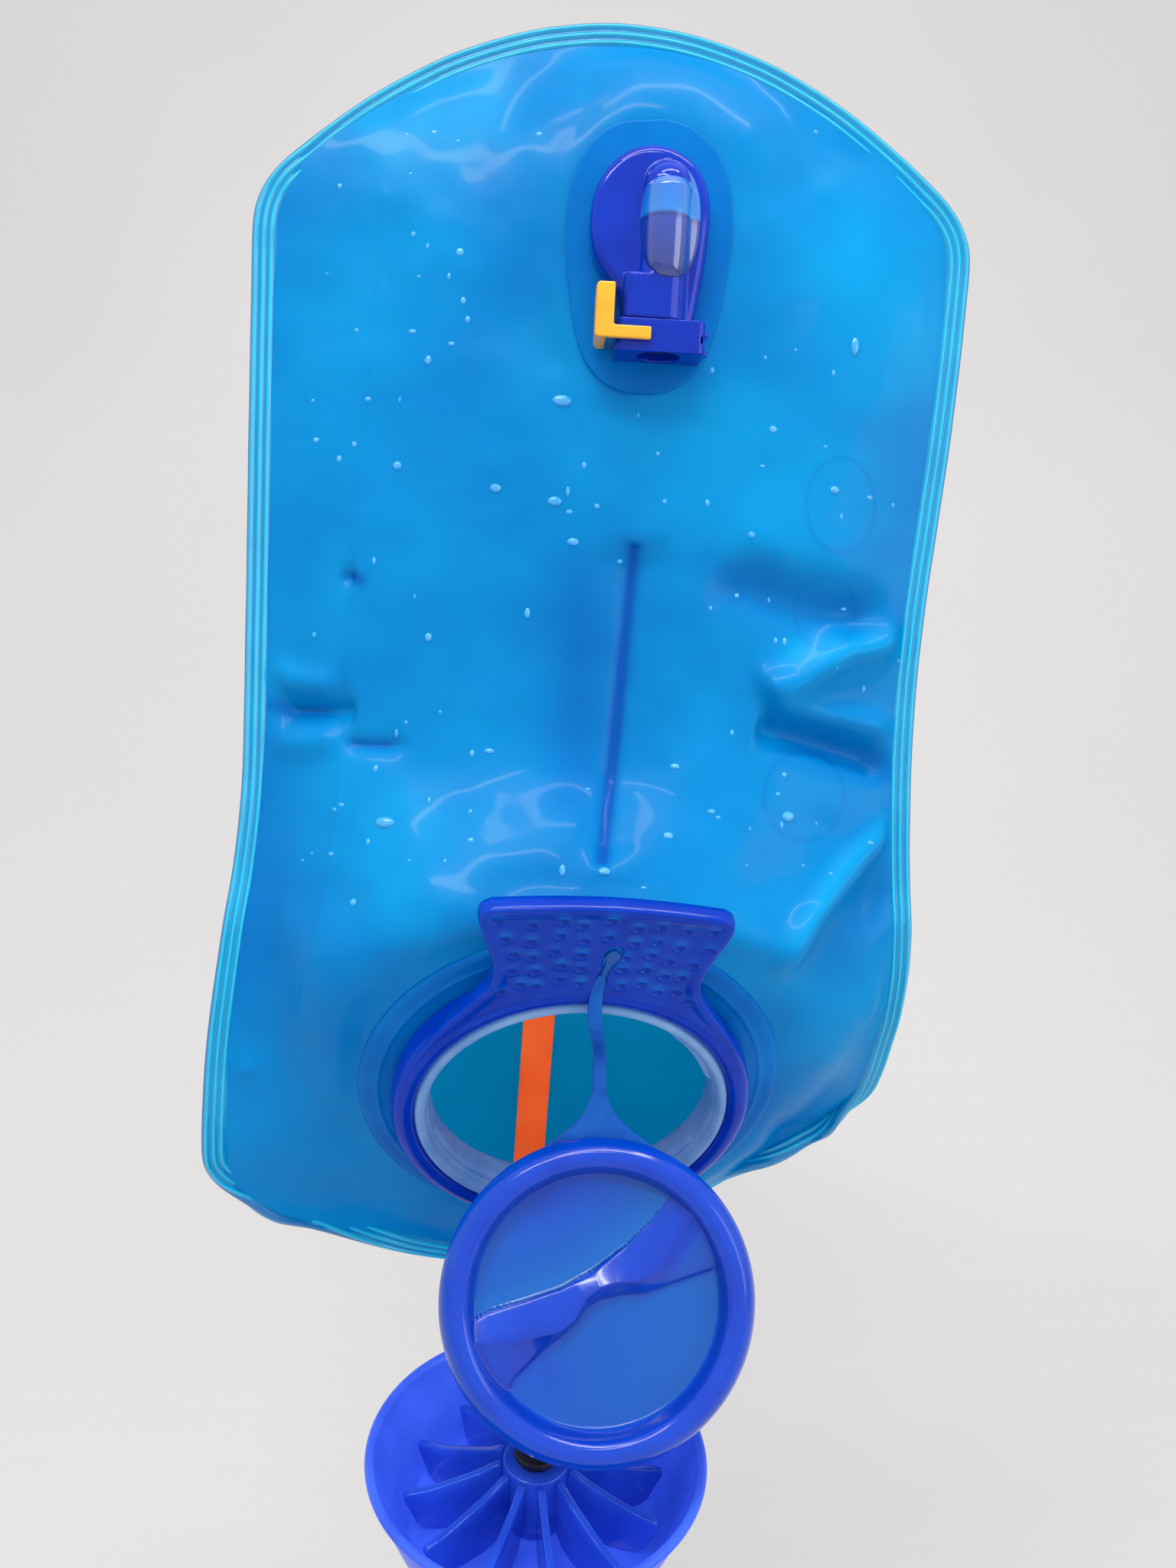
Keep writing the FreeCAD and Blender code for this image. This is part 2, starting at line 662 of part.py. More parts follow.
def swivel_fork():
    """Swivel head and stem, a disc, and two ears that hold the pin (LID frame)."""
    half_w, half_d, pin_z = 7.4, 3.0, -PIN_DEPTH
    ear_t = 3.1
    fork = cyl(4.3, -7.5, -6.3).fuse(cyl(3.0, -9.6, -7.4)).fuse(cyl(half_w, -11.2, -9.4))
    ear = [(-half_d, -11.3), (half_d, -11.3), (half_d, pin_z - 2.0), (1.5, pin_z - 3.2),
           (-1.5, pin_z - 3.2), (-half_d, pin_z - 2.0)]
    for x in (-half_w, half_w - ear_t):
        fork = fork.fuse(side_prism(ear, x, ear_t))
    fork = fork.fuse(box(2 * half_w, 2 * half_d, 0.6, -half_w, -half_d, -11.6))
    return fork.cut(cyl_x(PIN_R, 20, Vec(0, 0, pin_z))).removeSplitter()


# ---------------------------------------------------------------- hose outlet (OUT frame)
SOCKET_X, SOCKET_Z = 4.0, 8.6   # axis of the hose socket, which runs along y
SOCKET_R = 5.0
FLOW_Y = 14.0                   # flow hole through the film and flange
HOUSING_END = -19.9             # the housing's flat lower end
HOUSING_BACK = 1.5
HOUSING_T = 9.5
BUTTON_X, BUTTON_Y = -14.4, -26.2   # the release button's left and lower faces
SPRING_Y = -25.0                # axis of the button spring

# Right half of the flange outline between its top and bottom points, (x, y).
FLANGE_EDGE = [(10, 36.0), (18.5, 29), (22.8, 18), (23.6, 8), (22.5, -6), (20.0, -20),
               (15.5, -30.5), (8, -36.3)]
# Housing outline, (x, y), from its lower right corner round the top to its lower left.
HOUSING_OUTLINE = [
    (13.6, HOUSING_END), (15.2, -8), (16.4, 5), (16.2, 13), (12.6, 22), (6, 26.6),
    (-1.5, 27.6), (-7, 26.0), (-12.4, 21.6), (-16.2, 14), (-17.0, 6), (-14.4, -4),
    (-8.6, -12), (-7.8, HOUSING_END),
]


def socket_cyl(r, y0, y1, x=SOCKET_X):
    return Part.makeCylinder(r, y1 - y0, Vec(x, y0, SOCKET_Z), Vec(0, 1, 0))


def socket_torus(ring_r, section_r, y):
    return Part.makeTorus(ring_r, section_r, Vec(SOCKET_X, y, SOCKET_Z), Vec(0, 1, 0))


def half_space(z):
    """Block that covers the whole outlet above z."""
    return box(60, 80, 40, -30, -40, z)


def exit_flange():
    left = [(-x, y) for x, y in reversed(FLANGE_EDGE)]
    outline = [(0, 37.5)] + FLANGE_EDGE + [(0, -37.5)] + left
    return spline_prism(outline, 0.24, 1.42).cut(cyl(5.6, -1, 4, 0, FLOW_Y))


def exit_housing():
    curve = Part.BSplineCurve()
    points = [Vec(x, y, 0) for x, y in HOUSING_OUTLINE]
    curve.interpolate(points)
    end = Part.makeLine(points[-1], points[0])
    base = Part.Face(Part.Wire([curve.toShape(), end]))
    base.translate(Vec(0, 0, HOUSING_BACK))
    body = base.extrude(Vec(0, 0, HOUSING_T))
    front = HOUSING_BACK + HOUSING_T
    lip = [e for e in body.Edges if abs(e.BoundBox.ZMin - front) < 1e-3
           and e.BoundBox.ZLength < 1e-3 and e.Length > 60]
    body = filleted(body, 3.2, lip)

    # round-ended barrel along the socket
    barrel = socket_cyl(7.2, HOUSING_END, 16.0)
    barrel = barrel.fuse(Part.makeSphere(7.2, Vec(SOCKET_X, 16.0, SOCKET_Z)))
    barrel = barrel.common(half_space(HOUSING_BACK))

    # raised block at the lower end
    hump = box(9.2, 12.0, 14.0, -6.8, HOUSING_END, 1.6)
    hump_edges = [e for e in hump.Edges if e.BoundBox.ZMax > 15 and e.BoundBox.ZLength < 1
                  and e.BoundBox.YMax < -7.9 + 1e-6 and e.BoundBox.YLength > 1]
    hump = filleted(hump, 2.0, hump_edges)

    housing = body.fuse(barrel).fuse(hump)
    # hose socket, valve seat, valve chamber, O-ring groove, flow hole
    for r, y0, y1 in ((SOCKET_R, -21, -11.0), (2.9, -12, -8.0), (4.4, -8.0, 14.0),
                      (6.4, -15.4, -13.6)):
        housing = housing.cut(socket_cyl(r, y0, y1))
    return housing.cut(cyl(5.0, 0, SOCKET_Z, 0, FLOW_Y)).removeSplitter()


def thumb_window(housing):
    """Shallow oval dome on the housing's front."""
    stretch = FreeCAD.Matrix()
    stretch.scale(8.7, 15.6, 6.6)
    dome = Part.makeSphere(1.0).transformGeometry(stretch)
    dome.translate(Vec(5.4, 7.8, 11.4))
    dome = dome.common(half_space(11.05)).cut(housing)
    return max(dome.Solids, key=lambda solid: solid.Volume)


def exit_collar():
    collar = box(25.0, 9.0, 13.8, -8.5, -29.0, 1.6)
    collar = filleted(collar, 2.4, [e for e in collar.Edges if e.BoundBox.YLength > 8
                                    and e.BoundBox.ZMin > 10])
    for y in (-28.4, -23.2):    # ridges on the right side
        collar = collar.fuse(box(2.2, 1.8, 3.4, 15.4, y, 7.0))
    collar = collar.cut(socket_cyl(6.0, -30, -19))
    collar = collar.cut(box(24.8, 2.4, 12.7, -9.0, -26.2, 2.2))     # latch slot
    pocket = Part.makeCylinder(2.6, 4.7, Vec(11.15, SPRING_Y, SOCKET_Z), Vec(1, 0, 0))
    return collar.cut(pocket).removeSplitter()


def release_button():
    """Side pad, front strip and foot."""
    front, strip_t = 15.7, 1.8
    pad = box(3.2, 14.6, 13.6, BUTTON_X, BUTTON_Y, 3.0)
    strip = box(5.2, 14.6, strip_t, BUTTON_X, BUTTON_Y, front)
    foot = box(15.6, 3.4, strip_t, BUTTON_X, BUTTON_Y, front)
    button = pad.fuse(strip).fuse(foot).removeSplitter()
    left = [e for e in button.Edges if abs(e.BoundBox.XMin - BUTTON_X) < 1e-3
            and e.BoundBox.XLength < 1e-3 and e.Length > 5]
    return filleted(button, 1.2, left)


def latch_plate():
    """Plate in the collar's slot, its hole drawn out to the left for the plate's travel."""
    hole_r, travel = 5.2, 2.1
    plate = box(22.3, 1.8, 12.1, -11.15, -25.9, 2.5)
    left = SOCKET_X - travel
    hole = socket_cyl(hole_r, -30, -19).fuse(socket_cyl(hole_r, -30, -19, left))
    hole = hole.fuse(box(travel, 11, 2 * hole_r, left, -30, SOCKET_Z - hole_r))
    return plate.cut(hole).removeSplitter()


def button_spring():
    spring = coil(radius=2.0, wire_r=0.3, pitch=0.9, turns=2)
    spring.rotate(Vec(0, 0, 0), Vec(0, 1, 0), 90)
    spring.translate(Vec(11.6, SPRING_Y, SOCKET_Z))
    return spring


def valve_poppet():
    """Disc with a nose below, a stem above and a groove for its O-ring."""
    poppet = socket_cyl(4.1, -7.3, -5.6).fuse(socket_cyl(2.3, -10.6, -7.2))
    poppet = poppet.fuse(socket_cyl(1.5, -5.7, 1.0))
    return poppet.cut(socket_torus(3.55, 0.62, -7.3)).removeSplitter()


def valve_spring():
    turns = 6
    spring = coil(radius=3.0, wire_r=0.35, pitch=17.6 / turns, turns=turns)
    spring.rotate(Vec(0, 0, 0), Vec(1, 0, 0), -90)
    spring.translate(Vec(SOCKET_X, -5.1, SOCKET_Z))
    return spring


# ---------------------------------------------------------------- build
save("front_film", front_film())
save("back_film", film(back_inner, 1))
save("edge_seam", edge_seam())
save("centre_baffle", centre_baffle())
save("spreader_strap", spreader_strap())

save("fill_flange", fill_flange(), PORT)
save("mouth_liner", mouth_liner(), PORT)
save("handle_ring", handle_ring(), PORT)

save("tether_button", tether_button(), PORT)
save("tether_strap", tether_strap())
save("tether_ring", tether_ring(), LID)

save("lid_body", lid_body(), LID)
save("lid_seal", lid_seal(), LID)

save("cap_shell", cap_shell(), CAP)
save("cap_ribs", cap_ribs(), CAP)
save("cap_hub", cap_hub(), CAP)
save("cap_stud", cap_stud(), CAP)
save("cap_link", cap_link())
save("link_pin", cyl_x(PIN_R, 15.0, PIN))
save("swivel_fork", swivel_fork(), LID)

outlet_housing = exit_housing()
save("exit_flange", exit_flange(), OUT)
save("exit_housing", outlet_housing, OUT)
save("thumb_window", thumb_window(outlet_housing), OUT)
save("exit_collar", exit_collar(), OUT)
save("release_button", release_button(), OUT)
save("latch_plate", latch_plate(), OUT)
save("button_spring", button_spring(), OUT)
save("valve_poppet", valve_poppet(), OUT)
save("valve_oring", socket_torus(3.55, 0.55, -7.35), OUT)
save("valve_spring", valve_spring(), OUT)
save("socket_oring", socket_torus(5.78, 0.6, -14.5), OUT)
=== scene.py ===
"""A soft water bag: two welded films, a fill port with handle, tethered lid, cap and outlet.

The bag hangs upright, its top at +Z and its front towards -Y, with the fill port's mouth at
the origin. Shapes are worked out in millimetres and scaled to metres as meshes are made.
"""
import math
import bmesh
import bpy
import numpy as np
from mathutils import Matrix, Vector


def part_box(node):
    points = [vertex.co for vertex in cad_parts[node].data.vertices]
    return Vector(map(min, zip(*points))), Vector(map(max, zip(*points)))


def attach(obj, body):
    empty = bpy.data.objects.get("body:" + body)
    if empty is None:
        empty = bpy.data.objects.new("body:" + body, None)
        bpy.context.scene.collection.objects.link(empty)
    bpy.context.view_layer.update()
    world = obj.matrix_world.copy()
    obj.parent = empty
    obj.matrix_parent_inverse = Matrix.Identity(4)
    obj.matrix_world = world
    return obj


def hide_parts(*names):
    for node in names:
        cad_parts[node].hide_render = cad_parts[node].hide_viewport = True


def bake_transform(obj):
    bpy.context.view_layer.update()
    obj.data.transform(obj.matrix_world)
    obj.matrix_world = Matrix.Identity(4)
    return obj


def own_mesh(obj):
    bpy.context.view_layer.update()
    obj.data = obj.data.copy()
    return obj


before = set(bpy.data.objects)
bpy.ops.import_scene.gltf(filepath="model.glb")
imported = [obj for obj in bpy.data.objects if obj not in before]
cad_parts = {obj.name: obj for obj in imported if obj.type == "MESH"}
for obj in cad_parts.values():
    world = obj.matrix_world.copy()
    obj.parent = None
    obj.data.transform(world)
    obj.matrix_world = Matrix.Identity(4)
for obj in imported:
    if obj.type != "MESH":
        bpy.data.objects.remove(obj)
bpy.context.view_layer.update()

MM = 0.001

# ------------------------------------------------------------------ driving sizes (mm)
HALF_WIDTH, LENGTH = 107.5, 435.0
FILM = 0.9            # film offset from its shaping surface
FILM_INSET = 5.6      # how far the films end inside the bag's outline
WELD_GAP = 0.45       # half the gap between the films at the outline
TOP_SAG, END_SAG = 40.0, 46.0    # how far the corners lag behind the middle, top and bottom
PINCH = 6.0           # the right edge's pull inwards
RISE = 4.6            # flat margin before the films start to bulge

PORT_STACK = 12.0     # depth of the front film below the mouth plane
FLANGE_R, MOUTH_R, LINER_R, RING_R = 66.0, 44.0, 48.3, 55.8
LINER_FIT_R = LINER_R + 0.05
OUTLET_X, OUTLET_Y, OUTLET_Z = 9.0, 5.4, 255.0

# Frames: origin, then x, y and outward z axes
X_AXIS = np.array([1.0, 0, 0])
PORT_X = np.array([0.9941132018694738, 0.10395787733632039, -0.030523787585253717])
PORT_Y = np.array([0.07699489616474708, -0.47962887262604104, 0.8740869124452402])
PORT_Z = np.array([0.07622813019747329, -0.8712915150988213, -0.48480962024633706])
LID_TILT, CAP_TILT = math.radians(15), math.radians(6)
PORT = (np.zeros(3), PORT_X, PORT_Y, PORT_Z)
LID = (np.array([9.0, -30.0, -42.0]), X_AXIS,
       np.array([0, math.sin(LID_TILT), math.cos(LID_TILT)]),
       np.array([0, -math.cos(LID_TILT), math.sin(LID_TILT)]))
CAP = (np.array([-6.0, -13.0, -101.0]), X_AXIS,
       np.array([0, math.cos(CAP_TILT), math.sin(CAP_TILT)]),
       np.array([0, -math.sin(CAP_TILT), math.cos(CAP_TILT)]))
OUTLET = (np.array([OUTLET_X, OUTLET_Y - FILM, OUTLET_Z]), X_AXIS,
          np.array([0, 0, 1.0]), np.array([0, -1.0, 0]))

# Camera: place (mm), turns about x, y, z (degrees) and lens on a 36 mm sensor (mm)
CAMERA_AT = np.array([-10.93, -346.45, 144.66])
CAMERA_TURN = (-6.75, -2.93, -1.74)
CAMERA_LENS = 26.9296875
# Folds and tints are drawn on a plane square to the camera, this far ahead of it
LAYOUT_DISTANCE = 306.4
NOISE_CORNER = (-153.6, 204.8)   # upper left corner of the noise cells on that plane


# ------------------------------------------------------------------ curves and points
def ease(v):
    """Smooth step from 0 to 1."""
    v = np.clip(v, 0.0, 1.0)
    return v * v * (3 - 2 * v)


def monotone_curve(xs, ys):
    """Cubic through the stations that does not overshoot them."""
    xs, ys = np.array(xs, float), np.array(ys, float)
    step = np.diff(xs)
    slope = np.diff(ys) / step
    tangent = np.zeros(len(xs))
    tangent[0], tangent[-1] = slope[0], slope[-1]
    for i in range(1, len(xs) - 1):
        if slope[i - 1] * slope[i] > 0:
            w1, w2 = 2 * step[i] + step[i - 1], step[i] + 2 * step[i - 1]
            tangent[i] = (w1 + w2) / (w1 / slope[i - 1] + w2 / slope[i])

    def curve(x):
        x = np.clip(x, xs[0], xs[-1])
        i = np.clip(np.searchsorted(xs, x, side="right") - 1, 0, len(xs) - 2)
        s = (x - xs[i]) / step[i]
        return ((1 + 2 * s) * (1 - s) ** 2 * ys[i] + s * (1 - s) ** 2 * step[i] * tangent[i]
                + s * s * (3 - 2 * s) * ys[i + 1] + s * s * (s - 1) * step[i] * tangent[i + 1])
    return curve


def cut_corners(points, rounds=2, closed=True):
    """Chaikin corner cutting."""
    points = np.array(points, float)
    for _ in range(rounds):
        a = points if closed else points[:-1]
        b = np.roll(points, -1, axis=0) if closed else points[1:]
        cut = np.empty((2 * len(a), points.shape[1]))
        cut[0::2] = a * 0.75 + b * 0.25
        cut[1::2] = a * 0.25 + b * 0.75
        if not closed:
            cut = np.vstack([points[:1], cut, points[-1:]])
        points = cut
    return points


def resample(points, count, closed=True):
    """Evenly spaced points along a polyline."""
    points = np.array(points, float)
    if closed:
        points = np.vstack([points, points[:1]])
    steps = np.linalg.norm(np.diff(points, axis=0), axis=1)
    run = np.concatenate([[0], np.cumsum(steps)])
    s = np.linspace(0, run[-1], count, endpoint=not closed)
    return np.stack([np.interp(s, run, points[:, k]) for k in range(points.shape[1])], -1)


def nearest_on_line(x, y, points):
    """Distance to a polyline, and how far along it (0 to 1) the nearest place lies."""
    points = np.array(points, float)
    spans = np.diff(points, axis=0)
    lengths = np.hypot(spans[:, 0], spans[:, 1])
    best = np.full(np.shape(x), 1e9)
    along = np.zeros(np.shape(x))
    run = 0.0
    for start, span, length in zip(points, spans, lengths):
        dx, dy = x - start[0], y - start[1]
        s = np.clip((dx * span[0] + dy * span[1]) / length ** 2, 0, 1)
        distance = np.hypot(dx - s * span[0], dy - s * span[1])
        hit = distance < best
        best = np.where(hit, distance, best)
        along = np.where(hit, (run + s * length) / lengths.sum(), along)
        run += length
    return best, along


def line_distance(x, y, points):
    return nearest_on_line(x, y, points)[0]


def in_frame(axes, points):
    """World place of points given in a frame."""
    origin, x, y, z = axes
    points = np.asarray(points, float)
    return origin + points[..., 0:1] * x + points[..., 1:2] * y + points[..., 2:3] * z


# ------------------------------------------------------------------ the bag's surfaces
# Stations from top (0) to bottom (1), the outline's y and z there, and how far the front
# and back films' middles stand off it
STATION = (0, 0.10, 0.25, 0.40, 0.474, 0.60, 0.632, 0.777, 0.922, 1.0)
outline_y, outline_z, front_y, front_z, back_y, back_z = (
    monotone_curve(STATION, values) for values in (
        (22, 21, 20, 20, 20, 17, 14, 22, 44, 60),
        (326, 283, 219, 154, 122, 70, 56, 4, -44, -76),
        (-12, -14, -16, -16, -18, -38, -42, -12.4, 3.0, 0),
        (0, 0, 0, 0, 0, 2, 2, 3.1, 0.5, 0),
        (6, 10, 12, 12, 14, 22, 26, 30, 17, 0),
        (0, 0, 0, 0, -2, -4, -6, -2, -2, 0)))


def half_width(t):
    """Half width at station t, with rounded corners at both ends."""
    a = HALF_WIDTH + 4.0 * ease((t - 0.55) / 0.25)
    a = np.where(t < 0.075, a * (1 - 0.13 * np.abs(1 - t / 0.075) ** 2.2), a)
    return np.where(t > 0.90, a * (1 - 0.20 * np.abs((t - 0.90) / 0.10) ** 2), a)


def mid_surface(q, t):
    """Station, x, y and z of the sheet the seam lies in; q runs -1 (left) to 1 (right)."""
    sag = (1 - t) ** 3 * TOP_SAG / LENGTH * q * q - t ** 3 * END_SAG / LENGTH * q * q
    station = t + sag
    low = ease((t - 0.5) / 0.5)
    pinch = PINCH * np.maximum(q, 0) * np.exp(-((t - 0.44) / 0.2) ** 2)
    x = half_width(t) * q - 5.0 * low - pinch
    y = outline_y(station) + 19.0 * q * low
    z = outline_z(station) + 12.0 * q * low
    return station, x, y, z


def bulge(q, t):
    """0 at the outline, rising towards 1 in the middle."""
    r = np.abs(q) / (1 - RISE / HALF_WIDTH)
    across = np.clip(1 - r ** 2.3, 0, None)
    top = t - RISE / LENGTH
    from_top = np.where(top <= 0, 0, 1 - (np.clip(0.16 - top, 0, None) / 0.16) ** 2)
    end = 1 - RISE / LENGTH - t
    from_end = np.where(end <= 0, 0, 1 - (np.clip(0.065 - end, 0, None) / 0.065) ** 2)
    w = across * from_top * from_end
    return w * w / (w + 0.06)


def inset(s, u, margin):
    """Bag parameters of an even (s, u) grid that ends a margin inside the outline."""
    end = margin / LENGTH * (1.14 + 0.44 * s * s)
    t = end + (1 - 2 * end) * u
    near_end = np.maximum(0, np.maximum(1 - t / 0.075, (t - 0.92) / 0.08))
    w = half_width(t)
    return s * (w - margin * (1.10 + 0.66 * near_end)) / w, t


def front(q, t):
    """Front film, drawn flat under the port's flange and round the outlet."""
    station, x, y, z = mid_surface(q, t)
    w = bulge(q, t)
    p = np.stack([x, y - WELD_GAP + front_y(station) * w, z + front_z(station) * w], -1)
    a, b, c = p @ PORT_X, p @ PORT_Y, p @ PORT_Z
    k = (1 - ease((np.hypot(a, b) - (FLANGE_R + 3.5)) / 26.0)) * ease(w / 0.3)
    p = p + PORT_Z * ((-PORT_STACK - FILM - c) * k)[..., None]
    r = np.hypot((p[..., 0] - OUTLET_X) / 0.72, p[..., 2] - OUTLET_Z)
    k = (1 - ease((r - 40.0) / 34.0)) * ease(w / 0.3) * (t < 0.5)
    p[..., 1] += (OUTLET_Y - p[..., 1]) * k
    return p


def back(q, t):
    station, x, y, z = mid_surface(q, t)
    w = bulge(q, t)
    return np.stack([x, y + WELD_GAP + back_y(station) * w, z + back_z(station) * w], -1)


# ------------------------------------------------------------------ folds and tints
def camera_axes():
    """Columns: the camera's right, forward and up."""
    rx, ry, rz = (math.radians(v) for v in CAMERA_TURN)
    turn_z = np.array([[math.cos(rz), -math.sin(rz), 0], [math.sin(rz), math.cos(rz), 0],
                       [0, 0, 1]])
    turn_x = np.array([[1, 0, 0], [0, math.cos(rx), -math.sin(rx)],
                       [0, math.sin(rx), math.cos(rx)]])
    turn_y = np.array([[math.cos(ry), 0, math.sin(ry)], [0, 1, 0],
                       [-math.sin(ry), 0, math.cos(ry)]])
    return turn_z @ turn_x @ turn_y


CAMERA_AXES = camera_axes()


def on_layout(p):
    """Points cast towards the camera onto the layout plane: x right, z up (mm)."""
    d = (p - CAMERA_AT) @ CAMERA_AXES
    return LAYOUT_DISTANCE * d[..., 0] / d[..., 1], LAYOUT_DISTANCE * d[..., 2] / d[..., 1]


def value_noise(x, z, cell, seed):
    """Smooth noise in -1 to 1, with cells of the given size (mm)."""
    table = np.random.default_rng(seed).uniform(-1, 1, (64, 64))
    x, z = (x - NOISE_CORNER[0]) / cell, (NOISE_CORNER[1] - z) / cell
    i, j = np.floor(x).astype(int), np.floor(z).astype(int)
    fx, fz = ease(x - i), ease(z - j)

    def at(a, b):
        return table[a % 64, b % 64]
    return ((at(i, j) * (1 - fx) + at(i + 1, j) * fx) * (1 - fz)
            + (at(i, j + 1) * (1 - fx) + at(i + 1, j + 1) * fx) * fz)


def soft(r):
    return np.exp(-r ** 2)


def sharp(r):
    return np.exp(-np.sqrt(r ** 2 + 0.09) + 0.3)


def drawn(x, z, noises, strokes):
    """Sum of noise layers and of strokes along polylines, over layout places."""
    total = np.zeros(x.shape)
    for height, cell, seed in noises:
        total += height * value_noise(x, z, cell, seed)
    for height, width, fade, profile, points in strokes:
        distance, along = nearest_on_line(x, z, points)
        ends = ease(along / fade) * ease((1 - along) / fade) if fade > 0 else 1.0
        total += height * profile(distance / width) * ends
    return total


WELD_LINE = [(12.2, 63.4), (8.0, 21.8), (3.6, -21.4)]

# Noise: height, cell (mm), seed
FRONT_SLACK = [(1.5, 38, 3), (0.7, 16.8, 5), (0.22, 7.2, 9)]
BACK_SLACK = [(1.3, 34, 31), (0.5, 14, 33)]
TINT_CLOUDS = [(0.16, 30, 21), (0.06, 8, 22)]

# Strokes: height (mm, minus is a valley), width (mm), faded share of each end, profile,
# points on the layout plane (x, z)
FRONT_FOLDS = [
    # centre: a narrow weld in a soft valley, with a trough on its left
    (-4.2, 9.2, 0.12, soft, [(12.8, 66.8), (8.8, 28.8), (3.6, -23.2)]),
    (-1.1, 2.2, 0.02, soft, WELD_LINE),
    (-1.8, 6.8, 0.25, soft, [(-5.2, 56.8), (-6.8, 24.8), (-6.0, -11.2)]),
    # left: a pinch at the edge between two ridges, short dents and a long ridge
    (-5.0, 3.0, 0.12, sharp, [(-90.0, 23.8), (-77.6, 19.2), (-59.6, 19.2)]),
    (3.0, 4.0, 0.25, soft, [(-89.2, 32.8), (-77.6, 27.2), (-63.2, 24.8)]),
    (2.4, 4.4, 0.25, soft, [(-87.6, 11.2), (-73.6, 11.2), (-63.2, 12.8)]),
    (-2.2, 2.0, 0.3, sharp, [(-64.8, 54.4), (-59.6, 53.2)]),
    (-2.6, 1.8, 0.3, sharp, [(-65.6, 11.6), (-59.6, 10.4), (-45.6, 10.4)]),
    (1.4, 12.0, 0.25, soft, [(-64.4, 92.8), (-59.6, 32.8), (-63.2, -25.2)]),
    # right: crescent, cone ridge, trough and the folds below them
    (-4.6, 6.8, 0.25, soft, [(27.4, 48.8), (42.4, 52.0), (62.4, 44.8), (82.4, 40.4)]),
    (2.4, 9.6, 0.25, soft, [(32.4, 64.8), (54.4, 61.6), (76.4, 52.8)]),
    (6.4, 5.2, 0.1, soft, [(43.4, 23.8), (54.4, 26.8), (66.4, 34.8), (86.4, 39.2)]),
    (-6.0, 4.4, 0.1, soft, [(43.2, 15.2), (56.4, 12.4), (70.4, 7.8), (88.4, 0.8)]),
    (3.6, 4.4, 0.12, soft, [(46.4, 19.8), (64.4, 16.8), (86.4, 12.4)]),
    (4.6, 4.0, 0.2, soft, [(84.4, -5.2), (70.4, -19.2), (58.4, -35.2), (48.8, -53.2)]),
    (-4.2, 8.0, 0.25, soft, [(87.4, -21.2), (74.4, -33.2), (62.4, -47.2), (50.4, -61.2)]),
    (-2.2, 8.8, 0.25, soft, [(66.4, -5.2), (48.4, -23.2), (36.4, -31.2)]),
    (-2.6, 6.0, 0.25, soft, [(49.0, -53.2), (44.4, -69.2), (48.4, -89.2), (60.4, -95.2)]),
    (2.2, 4.8, 0.25, soft, [(82.4, -49.2), (68.4, -61.2), (58.4, -79.2)]),
    # lower left, and a fine line down the left
    (2.0, 2.0, 0.3, sharp, [(-101.2, -73.6), (-93.6, -75.2), (-85.6, -73.6)]),
    (-3.0, 9.2, 0.25, soft, [(-93.6, -23.2), (-85.6, -47.2), (-83.6, -79.2)]),
    (2.6, 10.0, 0.25, soft, [(-69.6, -31.2), (-67.2, -61.2), (-59.6, -91.2)]),
    (0.35, 0.9, 0.02, soft, [(-52.6, 156.8), (-59.6, 64.8), (-65.6, -11.2), (-75.2, -61.2)]),
    # above the mouth
    (-2.4, 8.0, 0.25, soft, [(-41.6, -31.2), (-13.6, -25.2), (18.4, -25.2), (46.4, -31.2)]),
]
BACK_FOLDS = [
    (-3.0, 10.0, 0.25, soft, [(8.6, 66.8), (6.4, -23.2)]),
    (2.2, 6.0, 0.25, soft, [(-87.6, 24.8), (-53.6, 12.8), (-13.6, 18.8)]),
    (-2.4, 6.8, 0.25, soft, [(86.4, 32.8), (58.4, 16.8), (26.4, 12.8)]),
    (-2.0, 8.0, 0.25, soft, [(-69.6, -41.2), (-25.6, -53.2), (58.4, -43.2)]),
]
